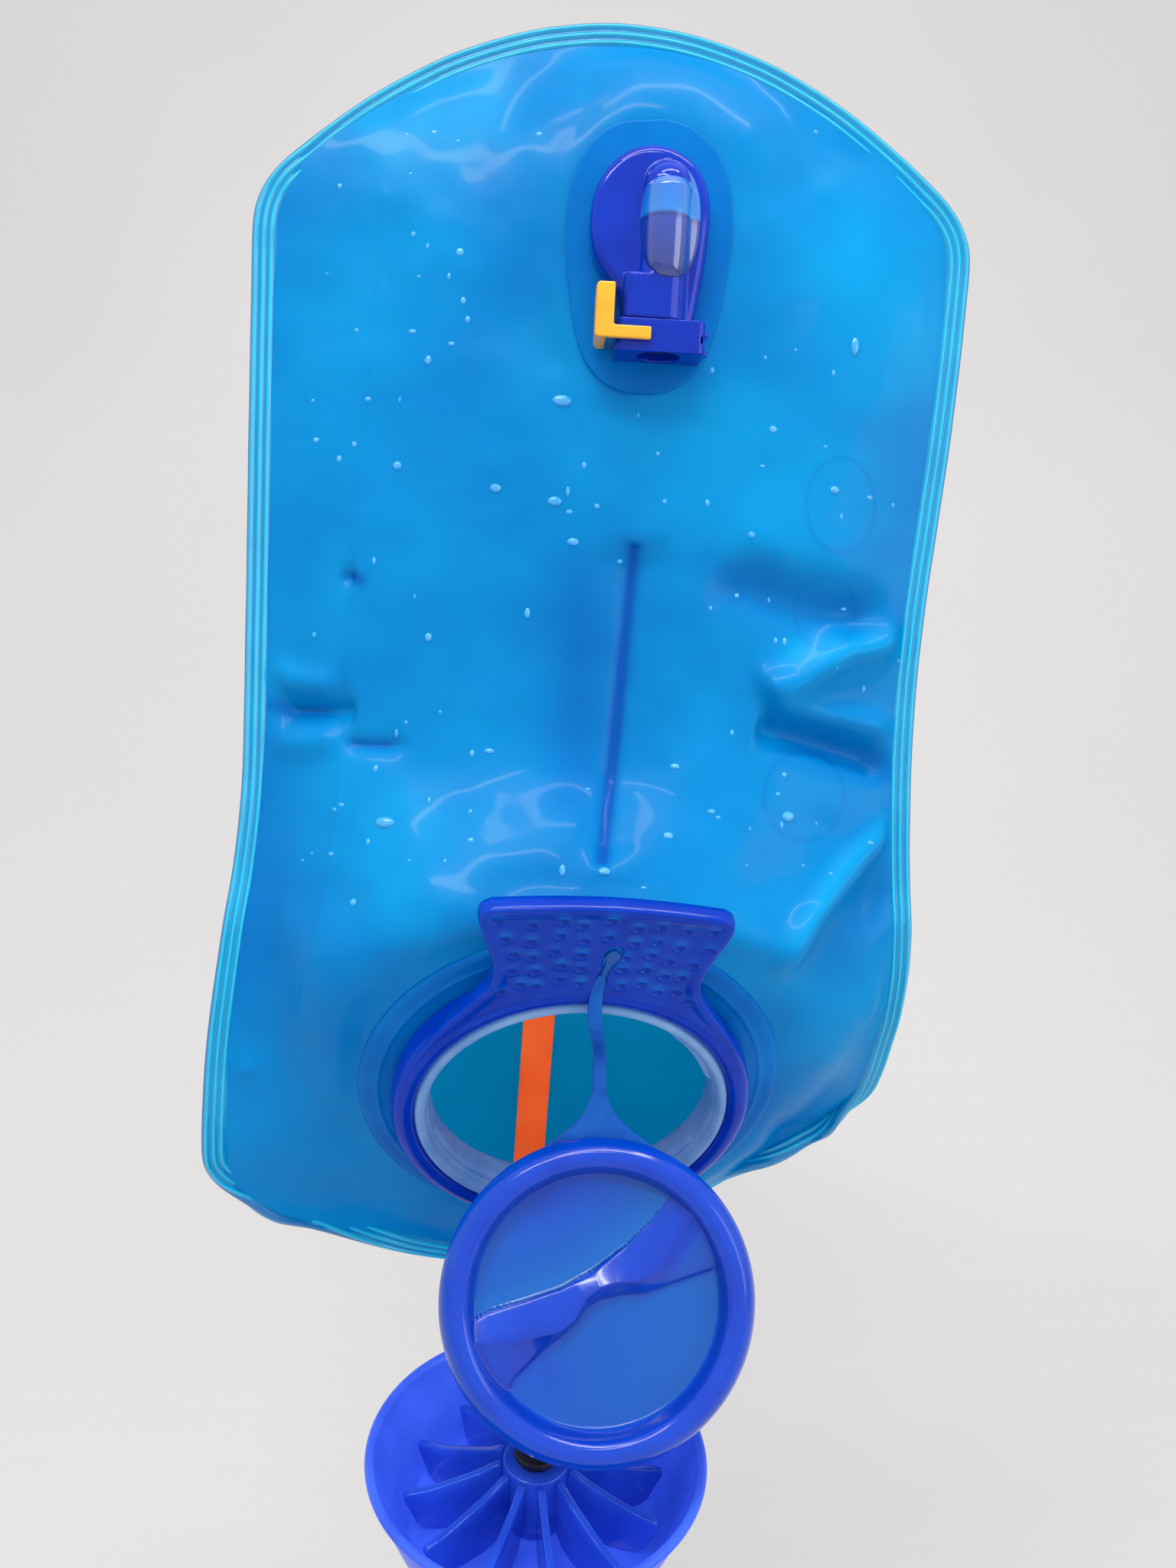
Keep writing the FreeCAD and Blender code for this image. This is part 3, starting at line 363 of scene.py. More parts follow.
# The same columns, with the height as tint: minus is darker. The weld line's stroke is the
# weld's own darker colour; the other strokes are painted shade in valleys, dents and creases and
# painted light on ridges and lit areas.
FRONT_WELD_SHADE_AND_LIGHT = [
    (-1.15, 1.7, 0.008, soft, WELD_LINE),
    (-0.42, 8.8, 0.25, soft, [(0.4, 64.8), (-2.0, 24.8), (-3.2, -19.2)]),
    (-0.40, 6.8, 0.25, soft, [(27.4, 48.4), (42.4, 51.2), (62.4, 44.8), (82.4, 40.0)]),
    (-0.42, 5.2, 0.25, soft, [(43.2, 14.8), (56.4, 11.2), (72.4, 5.8), (86.4, 0.8)]),
    (-0.48, 12.4, 0.25, soft, [(-89.6, 18.8), (-93.6, -13.2), (-101.2, -47.2),
                               (-102.4, -71.2)]),
    (-0.26, 14.0, 0.25, soft, [(-25.6, 168.8), (-19.6, 144.8), (-13.6, 120.8)]),
    (-0.55, 5.2, 0.0, soft, [(10.4, 110.8), (8.8, 106.8)]),
    (-0.30, 6.8, 0.25, soft, [(48.4, -55.2), (43.4, -69.2), (48.4, -95.2)]),
    (-0.30, 8.0, 0.25, soft, [(87.2, -19.2), (74.4, -33.2), (58.4, -53.2)]),
    (-0.9, 1.6, 0.0, soft, [(-61.2, 54.4), (-59.6, 53.4)]),
    (-0.8, 1.2, 0.2, soft, [(-64.0, 10.8), (-49.6, 10.0)]),
    (-0.6, 1.8, 0.2, soft, [(-90.0, 22.4), (-77.6, 18.8), (-63.6, 18.8)]),
    (0.22, 18.0, 0.25, soft, [(54.4, 144.8), (78.4, 128.8), (82.4, 92.8)]),
    (0.40, 4.4, 0.25, soft, [(46.4, 32.8), (66.4, 35.8), (82.4, 39.8)]),
    (0.22, 16.0, 0.25, soft, [(-53.6, -45.2), (-49.6, -15.2), (-41.6, 4.8)]),
    (0.35, 3.2, 0.25, soft, [(82.4, -5.2), (66.4, -22.2), (50.4, -49.2)]),
    (0.20, 12.0, 0.25, soft, [(-65.6, 164.8), (-41.6, 180.8), (-13.6, 184.8)]),
    (0.16, 18.0, 0.25, soft, [(26.4, 110.8), (46.4, 80.8), (34.4, 52.8)]),
]
# Oval marks on the right of the front film: x, z, half width, half height
OVAL_MARKS = [(66.0, 72.8, 9.0, 12.4), (62.0, 44.8, 8.0, 9.6), (56.4, -3.2, 10.4, 11.6)]


def seam_fade(q, t):
    """0 at the seam, 1 a little inside it."""
    return (ease((1 - np.abs(q)) / 0.085 - 0.75) * ease(t / 0.03 - 0.7)
            * ease((1 - t) / 0.035 - 0.7))


def front_relief(p, q, t):
    """Folds of the front film, faded at the seam, the port and the outlet."""
    port = ease((np.hypot(p @ PORT_X, p @ PORT_Y) - 65.0) / 16.0)
    r = np.hypot((p[..., 0] - OUTLET_X) / 0.66, p[..., 2] - OUTLET_Z)
    outlet = ease((r - 38.0) / 12.0)
    return drawn(*on_layout(p), FRONT_SLACK, FRONT_FOLDS) * seam_fade(q, t) * port * outlet


def back_relief(p, q, t):
    return drawn(*on_layout(p), BACK_SLACK, BACK_FOLDS) * seam_fade(q, t)


def front_tint_and_painted_light(x, z):
    # random tone, the weld strip's own colour, painted shade and painted light, and the oval
    # marks
    tint = drawn(x, z, TINT_CLOUDS, FRONT_WELD_SHADE_AND_LIGHT)
    for cx, cz, rx, rz in OVAL_MARKS:
        r = np.hypot((x - cx) / rx, (z - cz) / rz)
        tint += -0.22 * np.exp(-((r - 1) / 0.05) ** 2)
    return tint


# ------------------------------------------------------------------ mesh helpers
def add_mesh(name, verts, faces, material, smooth=True):
    """Makes an object from points in millimetres."""
    mesh = bpy.data.meshes.new(name)
    mesh.from_pydata([tuple(float(c) * MM for c in v) for v in verts], [], faces)
    mesh.update()
    mesh.validate()
    obj = bpy.data.objects.new(name, mesh)
    bpy.context.collection.objects.link(obj)
    for face in mesh.polygons:
        face.use_smooth = smooth
    mesh.materials.append(material)
    return obj


def clean(obj):
    """Merges doubled points and turns the faces one way."""
    bm = bmesh.new()
    bm.from_mesh(obj.data)
    bmesh.ops.remove_doubles(bm, verts=bm.verts, dist=1e-7)
    bmesh.ops.recalc_face_normals(bm, faces=bm.faces)
    bm.to_mesh(obj.data)
    bm.free()
    return obj


def add_clean(name, verts, faces, material):
    return clean(add_mesh(name, verts, faces, material))


def loop_faces(rows, count, closed=False, base=0, flip=False):
    """Quads between rows of closed loops; closed also joins the last row to the first."""
    faces = []
    for i in range(rows if closed else rows - 1):
        here, there = base + i * count, base + (i + 1) % rows * count
        for k in range(count):
            l = (k + 1) % count
            quad = (here + k, there + k, there + l, here + l)
            faces.append((quad[0], quad[3], quad[2], quad[1]) if flip else quad)
    return faces


def fan_faces(first, count, centre):
    return [(first + k, first + (k + 1) % count, centre) for k in range(count)]


def sheet_quads(nu, nv):
    i = np.arange(nu * nv).reshape(nu, nv)
    return np.stack([i[:-1, :-1], i[1:, :-1], i[1:, 1:], i[:-1, 1:]], -1).reshape(-1, 4)


def as_faces(quads):
    return [tuple(int(v) for v in f) for f in quads]


def grid_normals(p):
    du, dv = np.gradient(p, axis=0), np.gradient(p, axis=1)
    n = np.cross(du, dv)
    return n / np.maximum(np.linalg.norm(n, axis=-1, keepdims=True), 1e-9)


def lathe(name, profile, axes, material, segments=180):
    """A closed (r, z) profile, its corners cut, turned about the frame's z axis."""
    profile = cut_corners(profile)
    angle = np.linspace(0, 2 * math.pi, segments, endpoint=False)
    v = np.zeros((segments, len(profile), 3))
    v[..., 0] = profile[None, :, 0] * np.cos(angle)[:, None]
    v[..., 1] = profile[None, :, 0] * np.sin(angle)[:, None]
    v[..., 2] = profile[None, :, 1]
    return add_clean(name, in_frame(axes, v).reshape(-1, 3),
                     loop_faces(segments, len(profile), closed=True), material)


def ribbon(name, points, widths, thick, side, material):
    """A soft-edged strap through points, with side the direction across it."""
    points = np.array(points, float)
    n, around = len(points), 28
    along = np.gradient(points, axis=0)
    along /= np.linalg.norm(along, axis=1, keepdims=True)
    up = np.cross(side, along)
    up /= np.linalg.norm(up, axis=1, keepdims=True)
    across = np.cross(along, up)
    angle = np.linspace(0, 2 * math.pi, around, endpoint=False)
    cx = np.sign(np.cos(angle)) * np.abs(np.cos(angle)) ** 0.35
    cy = np.sign(np.sin(angle)) * np.abs(np.sin(angle)) ** 0.8
    v = (points[:, None, :]
         + across[:, None, :] * (cx[None, :, None] * np.array(widths)[:, None, None] / 2)
         + up[:, None, :] * (cy[None, :, None] * thick / 2))
    faces = loop_faces(n, around)
    faces += [tuple(range(around)), tuple(reversed(range((n - 1) * around, n * around)))]
    return add_clean(name, v.reshape(-1, 3), faces, material)


def thicken(obj, thickness):
    m = obj.modifiers.new("thickness", "SOLIDIFY")
    m.thickness, m.offset = thickness * MM, -1.0


def round_edges(obj, width, segments):
    m = obj.modifiers.new("round", "BEVEL")
    m.width, m.segments, m.limit_method = width * MM, segments, "ANGLE"
    return m


def set_tint(obj, values):
    attribute = obj.data.attributes.new("tint", "FLOAT", "POINT")
    attribute.data.foreach_set("value", np.asarray(values, dtype=np.float32).ravel())


def paint(obj, material):
    obj.data.materials.clear()
    obj.data.materials.append(material)


def place(obj, body, replaces=None):
    """Hangs the piece on its body and hides the CAD part it replaces, if any."""
    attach(obj, body)
    if replaces:
        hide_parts(replaces)


# ------------------------------------------------------------------ material helpers
def new_material(name):
    """An empty material: itself, its node tree and its output node."""
    m = bpy.data.materials.new(name)
    m.use_nodes = True
    tree = m.node_tree
    for node in list(tree.nodes):
        if node.type != "OUTPUT_MATERIAL":
            tree.nodes.remove(node)
    return m, tree, [n for n in tree.nodes if n.type == "OUTPUT_MATERIAL"][0]


def object_coords(tree):
    return tree.nodes.new("ShaderNodeTexCoord").outputs["Object"]


def noise(tree, scale, detail=3.0, rough=0.5, coords=None):
    n = tree.nodes.new("ShaderNodeTexNoise")
    n.inputs["Scale"].default_value = scale
    n.inputs["Detail"].default_value = detail
    n.inputs["Roughness"].default_value = rough
    tree.links.new(coords or object_coords(tree), n.inputs["Vector"])
    return n.outputs["Fac"]


def ramp(tree, fac, stops):
    """Colour ramp through (position, colour) stops."""
    r = tree.nodes.new("ShaderNodeValToRGB")
    e = r.color_ramp.elements
    e[0].position, e[0].color = stops[0][0], (*stops[0][1], 1)
    e[1].position, e[1].color = stops[-1][0], (*stops[-1][1], 1)
    for position, colour in stops[1:-1]:
        e.new(position).color = (*colour, 1)
    tree.links.new(fac, r.inputs["Fac"])
    return r.outputs["Color"]


def math_node(tree, operation, source, value):
    n = tree.nodes.new("ShaderNodeMath")
    n.operation = operation
    tree.links.new(source, n.inputs[0])
    n.inputs[1].default_value = value
    return n.outputs[0]


def tinted(tree, colour, tones):
    """Mixes towards the first tone where the tint is below 0, the second where above."""
    attribute = tree.nodes.new("ShaderNodeAttribute")
    attribute.attribute_name = "tint"
    for sign, tone in zip((-1.0, 1.0), tones):
        fac = math_node(tree, "MULTIPLY", attribute.outputs["Fac"], sign)
        fac = math_node(tree, "MAXIMUM", fac, 0.0)
        fac = math_node(tree, "MINIMUM", fac, 1.0)
        mix = tree.nodes.new("ShaderNodeMix")
        mix.data_type = "RGBA"
        tree.links.new(fac, mix.inputs[0])
        tree.links.new(colour, mix.inputs[6])
        mix.inputs[7].default_value = (*tone, 1)
        colour = mix.outputs[2]
    return colour


def mix_over(tree, surface, kind, colour, factor):
    """Mixes a share of another shader of the same colour into a surface."""
    other = tree.nodes.new(kind)
    tree.links.new(colour, other.inputs["Color"])
    mix = tree.nodes.new("ShaderNodeMixShader")
    mix.inputs["Fac"].default_value = factor
    tree.links.new(surface, mix.inputs[1])
    tree.links.new(other.outputs[0], mix.inputs[2])
    return mix.outputs["Shader"]


def plastic(name, tones, rough=0.22, scale=70, translucent=0.0, coat=0.4, spec=0.5,
            grain=0.35, grain_depth=0.00006, clear=0.0, painted_glow=0.0, scatter=0.0, tint=None):
    """Moulded plastic or welded film.

    tones is a (dark, light) pair blended by slow noise of the given scale, or a function
    that makes the colour. translucent and clear are the shares of light let through, grain
    is the strength and grain_depth the height (metres) of the fine bumps, and tint holds
    the colours of the "tint" attribute's minus and plus sides, which on the front film, handle
    and lid paint shade and light. painted_glow is emission in the surface's own colour:
    painted light, not a lamp.
    """
    m, tree, output = new_material(name)
    coords = object_coords(tree)
    link = tree.links.new
    if callable(tones):
        colour = tones(tree)
    else:
        colour = ramp(tree, noise(tree, scale, 3, 0.55, coords),
                      [(0.3, tones[0]), (0.7, tones[1])])
    if tint:
        colour = tinted(tree, colour, tint)
    b = tree.nodes.new("ShaderNodeBsdfPrincipled")
    link(colour, b.inputs["Base Color"])
    link(ramp(tree, noise(tree, scale * 6, 4, 0.6, coords),
              [(0.3, (rough * 0.75,) * 3), (0.75, (rough * 1.35,) * 3)]),
         b.inputs["Roughness"])
    b.inputs["Coat Weight"].default_value = coat
    b.inputs["Coat Roughness"].default_value = 0.08
    b.inputs["Specular IOR Level"].default_value = spec
    if scatter:
        b.inputs["Subsurface Weight"].default_value = scatter
        b.inputs["Subsurface Radius"].default_value = (0.2, 0.6, 1.0)
        b.inputs["Subsurface Scale"].default_value = 0.004
    if painted_glow:
        link(colour, b.inputs["Emission Color"])
        b.inputs["Emission Strength"].default_value = painted_glow
    bump = tree.nodes.new("ShaderNodeBump")
    bump.inputs["Strength"].default_value = grain
    bump.inputs["Distance"].default_value = grain_depth
    link(noise(tree, scale * 22, 4, 0.6, coords), bump.inputs["Height"])
    link(bump.outputs["Normal"], b.inputs["Normal"])
    surface = b.outputs["BSDF"]
    if translucent > 0:
        surface = mix_over(tree, surface, "ShaderNodeBsdfTranslucent", colour, translucent)
    if clear > 0:
        surface = mix_over(tree, surface, "ShaderNodeBsdfTransparent", colour, clear)
    link(surface, output.inputs["Surface"])
    return m


def painted_glow_by_facing(material):
    """Painted light: varies the emission with the normal, strongest on faces turned to the
    front.
    """
    tree = material.node_tree
    geometry = tree.nodes.new("ShaderNodeNewGeometry")
    split = tree.nodes.new("ShaderNodeSeparateXYZ")
    tree.links.new(geometry.outputs["Normal"], split.inputs[0])
    painted_glow = math_node(tree, "MULTIPLY", split.outputs["Y"], -3.0)
    painted_glow = math_node(tree, "MINIMUM", math_node(tree, "MAXIMUM", painted_glow, 0.0), 1.0)
    painted_glow = math_node(tree, "ADD", math_node(tree, "MULTIPLY", painted_glow, 0.72), 0.12)
    shader = [n for n in tree.nodes if n.type == "BSDF_PRINCIPLED"][0]
    tree.links.new(painted_glow, shader.inputs["Emission Strength"])


def window_painted_reflection(tree):
    """Painted reflection and shade: cyan above and dark below, split by a soft line; heights in
    metres.
    """
    bottom, height = 0.2475, 0.030
    split = tree.nodes.new("ShaderNodeSeparateXYZ")
    tree.links.new(object_coords(tree), split.inputs[0])
    level = math_node(tree, "SUBTRACT", split.outputs["Z"], bottom)
    level = math_node(tree, "DIVIDE", level, height)
    return ramp(tree, level, [
        (0.0, (0.0, 0.02, 0.24)), (0.44, (0.0, 0.035, 0.36)), (0.475, (0.0, 0.015, 0.20)),
        (0.51, (0.0, 0.20, 0.66)), (0.8, (0.0, 0.13, 0.58)), (1.0, (0.0, 0.05, 0.42))])


def brushed_steel():
    m, tree, output = new_material("brushed_steel")
    b = tree.nodes.new("ShaderNodeBsdfPrincipled")
    b.inputs["Metallic"].default_value = 1.0
    tree.links.new(ramp(tree, noise(tree, scale=900),
                        [(0.3, (0.46, 0.47, 0.48)), (0.7, (0.62, 0.63, 0.65))]),
                   b.inputs["Base Color"])
    tree.links.new(ramp(tree, noise(tree, scale=1500), [(0.3, (0.22,) * 3), (0.7, (0.34,) * 3)]),
                   b.inputs["Roughness"])
    tree.links.new(b.outputs["BSDF"], output.inputs["Surface"])
    return m


def pale_wall():
    m, tree, output = new_material("stage_pale")
    b = tree.nodes.new("ShaderNodeBsdfPrincipled")
    tree.links.new(ramp(tree, noise(tree, scale=1.6, detail=2),
                        [(0.3, (0.625, 0.60, 0.585)), (0.7, (0.655, 0.635, 0.62))]),
                   b.inputs["Base Color"])
    b.inputs["Roughness"].default_value = 0.8
    tree.links.new(b.outputs["BSDF"], output.inputs["Surface"])
    return m


# ------------------------------------------------------------------ materials
# Front film: the tint's dark side is the weld strip's own colour and painted shade, its light
# side painted light.
# The glow in the materials below is painted light: emission in the material's own colour, though
# no part is a lamp.
FILM_FRONT = plastic(
    "film_front_tpu", [(0.0, 0.190, 0.53), (0.0, 0.285, 0.64)], rough=0.36, scale=9,
    translucent=0.22, coat=0.07, spec=0.10, grain=0.5, grain_depth=0.00012, clear=0.02,
    painted_glow=0.16, tint=[(0.0, 0.095, 0.44), (0.0, 0.48, 0.82)])
# Painted light: a strong glow, raised further on faces turned to the front, so the film's inside
# seen through the mouth looks lit.
FILM_BACK = plastic(
    "film_back_tpu", [(0.0, 0.23, 0.42), (0.0, 0.30, 0.50)], rough=0.42, scale=9,
    translucent=0.55, coat=0.05, spec=0.2, grain=0.5, grain_depth=0.00012, painted_glow=0.85)
painted_glow_by_facing(FILM_BACK)
SEAM = plastic(
    "seam_tpu", [(0.0, 0.42, 0.70), (0.0, 0.54, 0.80)], rough=0.2, scale=60,
    translucent=0.25, coat=0.6, painted_glow=0.12, tint=[(0.0, 0.20, 0.52), (0.04, 0.70, 0.90)])
WELD = plastic(
    "weld_tpu", [(0.0, 0.13, 0.50), (0.0, 0.20, 0.60)], rough=0.26, scale=30,
    translucent=0.20, coat=0.04, spec=0.08, clear=0.04, painted_glow=0.14)
MOULDING = plastic(
    "moulding_blue", [(0.0, 0.024, 0.38), (0.0, 0.042, 0.48)], rough=0.2, scale=60,
    coat=0.10, spec=0.12, scatter=0.2)
# The tint's light side is painted light, on thin plastic by the dimples and in the keyhole.
HANDLE = plastic(
    "handle_blue", [(0.0, 0.026, 0.37), (0.0, 0.046, 0.47)], rough=0.16, scale=50,
    coat=0.14, spec=0.12, scatter=0.2, tint=[(0.0, 0.01, 0.22), (0.0, 0.17, 0.62)])
# The tint paints shade and light on the lid's face and rim; its light side is also the recess's
# own lighter tone.
LID_BLUE = plastic(
    "lid_blue", [(0.0, 0.036, 0.44), (0.0, 0.056, 0.54)], rough=0.18, scale=40, coat=0.35,
    spec=0.3, scatter=0.3, tint=[(0.0, 0.012, 0.26), (0.0, 0.115, 0.44)])
# Painted light: the glow brightens the cup and its inside.
CAP_VIOLET = plastic(
    "cap_violet", [(0.036, 0.105, 0.62), (0.080, 0.190, 0.86)], scale=34,
    translucent=0.40, coat=0.3, spec=0.2, clear=0.06, painted_glow=0.46)
RIB_VIOLET = plastic(
    "cap_rib_violet", [(0.012, 0.060, 0.56), (0.036, 0.130, 0.80)], rough=0.12, scale=40,
    translucent=0.3, coat=0.7, painted_glow=0.16)
LINER = plastic(
    "clear_liner", [(0.22, 0.46, 0.80), (0.36, 0.60, 0.90)], rough=0.32, scale=90,
    translucent=0.45, coat=0.2, spec=0.3, grain=0.6, painted_glow=0.08)
TETHER = plastic(
    "tether_clear", [(0.0, 0.13, 0.62), (0.012, 0.20, 0.74)], rough=0.4, scale=120,
    translucent=0.40, coat=0.1, spec=0.25, grain=0.8, grain_depth=0.00015)
TETHER_HEAD = plastic(
    "tether_head_clear", [(0.0, 0.10, 0.50), (0.0, 0.15, 0.60)], rough=0.3, scale=120,
    translucent=0.40, coat=0.3)
# Painted light: the glow keeps the band bright inside the bag.
ORANGE = plastic(
    "strip_orange", [(0.95, 0.15, 0.022), (1.0, 0.20, 0.036)], rough=0.5, scale=60,
    coat=0.05, spec=0.2, translucent=0.25, painted_glow=0.45)
YELLOW = plastic(
    "button_yellow", [(0.86, 0.36, 0.006), (0.96, 0.46, 0.015)], rough=0.32, scale=90,
    coat=0.25, scatter=0.1)
# Painted reflection and shade: cyan over the lens's upper half, dark below.
WINDOW = plastic("window_blue", window_painted_reflection, rough=0.05, scale=30, coat=1.0, spec=0.8)
RUBBER = plastic(
    "rubber_black", [(0.006, 0.006, 0.008), (0.016, 0.016, 0.02)], rough=0.55, scale=120,
    coat=0.0, grain=0.7)
WHITE = plastic(
    "valve_white", [(0.66, 0.68, 0.70), (0.80, 0.82, 0.84)], rough=0.35, scale=90)
HOUSING = plastic(
    "outlet_blue", [(0.0, 0.016, 0.34), (0.0, 0.032, 0.46)], rough=0.12, scale=60,
    coat=0.3, spec=0.15, scatter=0.15)
OUTLET_FLANGE = plastic(
    "outlet_flange_tpu", [(0.0, 0.135, 0.50), (0.0, 0.20, 0.60)], rough=0.26, scale=30,
    translucent=0.2, coat=0.05, spec=0.08, painted_glow=0.10)
BEAD = plastic(
    "film_bead", [(0.02, 0.42, 0.88), (0.12, 0.56, 0.96)], rough=0.05, scale=200,
    translucent=0.3, coat=1.0, painted_glow=0.10)
STEEL = brushed_steel()


# ------------------------------------------------------------------ films
def cut_port_hole(points, quads):
    """Drops the quads inside the liner and draws the ragged rim to a true circle."""
    reach, rim = LINER_R + 0.9, LINER_R + 0.6
    centre = points[quads].mean(1)
    near = np.abs(centre @ PORT_Z + PORT_STACK) < 6
    quads = quads[~((np.hypot(centre @ PORT_X, centre @ PORT_Y) < reach) & near)]
    a, b = points @ PORT_X, points @ PORT_Y
    r = np.hypot(a, b)
    edge = (r > LINER_R - 1.2) & (r < reach) & (np.abs(points @ PORT_Z + PORT_STACK) < 6)
    k = rim / np.maximum(r, 1e-6)
    points[edge] = ((a[edge] * k[edge])[:, None] * PORT_X
                    + (b[edge] * k[edge])[:, None] * PORT_Y
                    + (points[edge] @ PORT_Z)[:, None] * PORT_Z)
    return quads


def film_sheet(name, surface, relief, material, hole, facing, nq, nt):
    """A film as a grid of nq by nt points; facing is the sign of its outward y."""
    s, u = np.meshgrid(np.linspace(-1, 1, nq), np.linspace(0, 1, nt), indexing="ij")
    q, t = inset(s, u, FILM_INSET)
    p = surface(q, t)
    n = grid_normals(p)
    if np.sign(n[nq // 2, nt // 3, 1]) != facing:
        n = -n
    out = p + n * FILM
    h = relief(out, q, t)
    out = out + n * h[..., None]
    flat = out.reshape(-1, 3)
    quads = sheet_quads(nq, nt)
    if hole:
        quads = cut_port_hole(flat, quads)
    return add_mesh(name, flat, as_faces(quads), material), out


def build_films():
    """Both films; gives back the front film's grid of points."""
    front_film, points = film_sheet("front_film_sheet", front, front_relief, FILM_FRONT,
                                    hole=True, facing=-1, nq=280, nt=440)
    set_tint(front_film, front_tint_and_painted_light(*on_layout(points)))
    back_film, _ = film_sheet("back_film_sheet", back, back_relief, FILM_BACK,
                              hole=False, facing=1, nq=220, nt=340)
    for obj, node, slot in ((front_film, "front_film", "film_front"),
                            (back_film, "back_film", "film_back")):
        thicken(obj, 0.6)
        clean(obj)
        place(obj, "bag", node)
    return points


# ------------------------------------------------------------------ seam
def seam_path():
    """The outline as a closed loop, with the normal of the sheet it lies in."""
    across, down = 260, 420
    i, j = np.arange(across), np.arange(down)
    q = np.concatenate([-1 + 2 * i / across, np.ones(down), 1 - 2 * i / across, -np.ones(down)])
    t = np.concatenate([np.zeros(across), j / down, np.ones(across), 1 - j / down])

    def at(q, t):
        return np.stack(mid_surface(q, t)[1:], -1)
    loop = at(q, t)
    step = 0.01
    du = at(np.minimum(q + step, 1), t) - at(np.maximum(q - step, -1), t)
    dv = at(q, np.minimum(t + step, 1)) - at(q, np.maximum(t - step, 0))
    normal = np.cross(du, dv)
    normal /= np.linalg.norm(normal, axis=1, keepdims=True)
    for _ in range(30):
        loop = loop * 0.5 + (np.roll(loop, 1, 0) + np.roll(loop, -1, 0)) * 0.25
        normal = normal * 0.5 + (np.roll(normal, 1, 0) + np.roll(normal, -1, 0)) * 0.25
    normal /= np.linalg.norm(normal, axis=1, keepdims=True)
    tangent = np.roll(loop, -1, 0) - np.roll(loop, 1, 0)
    tangent /= np.linalg.norm(tangent, axis=1, keepdims=True)
    inward = np.cross(normal, tangent)
    top = across // 2
    if inward[top] @ (np.array([0, 20, 120]) - loop[top]) < 0:
        inward = -inward
    return loop, normal, inward


def build_seam():
    """The welded rim with three ridges, slightly wavy along its length."""
    width, ridges, ridge_width = 8.2, (1.5, 3.8, 6.1), 0.62
    loop, normal, inward = seam_path()
    phase = np.linspace(0, 2 * math.pi, len(loop), endpoint=False)
    wave = 0.35 * np.sin(17 * phase + 1) + 0.25 * np.sin(41 * phase)
    w = np.concatenate([[0.0, 0.12, 0.4], np.linspace(0.8, width, 30)])
    ridge = sum(np.exp(-((w - c) / ridge_width) ** 2) for c in ridges)
    half = 1.7 + 0.72 * ridge
    half = np.where(w < 1.0, 0.35 + (half - 0.35) * np.sqrt(np.clip(w / 1.0, 0, 1)), half)
    half = np.where(w > 7.2, half * (1 - 0.25 * ease((w - 7.2) / 1.0)), half)
    depth = np.concatenate([w, w[::-1]])[None, :, None]
    height = np.concatenate([-half, half[::-1]])[None, :, None]
    v = (loop[:, None, :] + inward[:, None, :] * depth
         + normal[:, None, :] * (height + wave[:, None, None] * 0.3))
    seam = add_mesh("edge_seam_weld", v.reshape(-1, 3),
                    loop_faces(len(loop), 2 * len(w), closed=True), SEAM)
    tone = -0.75 + 1.15 * ridge - 0.5 * (w < 0.7)
    set_tint(seam, np.tile(np.concatenate([tone, tone[::-1]]), len(loop)))
    clean(seam)
    place(seam, "bag", "edge_seam")


# ------------------------------------------------------------------ fill port
FLANGE_PROFILE = [  # r, z
    (LINER_FIT_R, -12.0), (58, -12.0), (FLANGE_R, -12.0), (FLANGE_R, -11.3),
    (FLANGE_R - 1.6, -10.6), (FLANGE_R - 5, -10.55), (FLANGE_R - 6, -10.1),
    (FLANGE_R - 7, -10.6), (LINER_FIT_R, -10.6)]
LINER_PROFILE = [  # r, z
    (MOUTH_R, -15.1), (LINER_R + 6, -15.1), (LINER_R + 6, -13.2), (LINER_R, -13.2),
    (LINER_R, -8), (LINER_R, -1.6), (LINER_R - 0.6, -0.5), (LINER_R - 2.0, -0.3),
    (MOUTH_R + 1.8, -0.5), (MOUTH_R + 1.0, -1.4), (MOUTH_R + 0.9, -3.4),
    (MOUTH_R + 0.2, -4.0), (MOUTH_R, -7), (MOUTH_R, -11)]
LUG_ANGLES = ((198, 262), (288, 340), (20, 56), (110, 146))    # start, end (degrees)


def lug(name, start, end):
    """A block on the liner's inner wall, tapering at both ends."""
    steps, inner, outer, low, high = 26, MOUTH_R - 1.6, MOUTH_R + 0.5, -7.0, -4.2
    v = []
    for i in range(steps + 1):
        a = math.radians(start + (end - start) * i / steps)
        full = 1.0 - 0.55 * max(0.0, 1 - min(i, steps - i) / 4.0) ** 2
        r_in = inner + (outer - inner) * (1 - full)
        for r, z in ((r_in, low), (outer, low), (outer, high), (r_in, high)):
            v.append((r * math.cos(a), r * math.sin(a), z))
    last = steps * 4
    faces = loop_faces(steps + 1, 4) + [(0, 1, 2, 3), (last + 3, last + 2, last + 1, last)]
    obj = add_clean(name, in_frame(PORT, v), faces, LINER)
    round_edges(obj, width=0.35, segments=3)
    return obj


def build_port():
    flange = lathe("fill_flange_weld", FLANGE_PROFILE, PORT, WELD)
    place(flange, "bag", "fill_flange")
    liner = lathe("mouth_liner_ring", LINER_PROFILE, PORT, LINER)
    place(liner, "bag", "mouth_liner")
    for k, (start, end) in enumerate(LUG_ANGLES):
        place(lug("liner_lug_%d" % k, start, end), "bag")


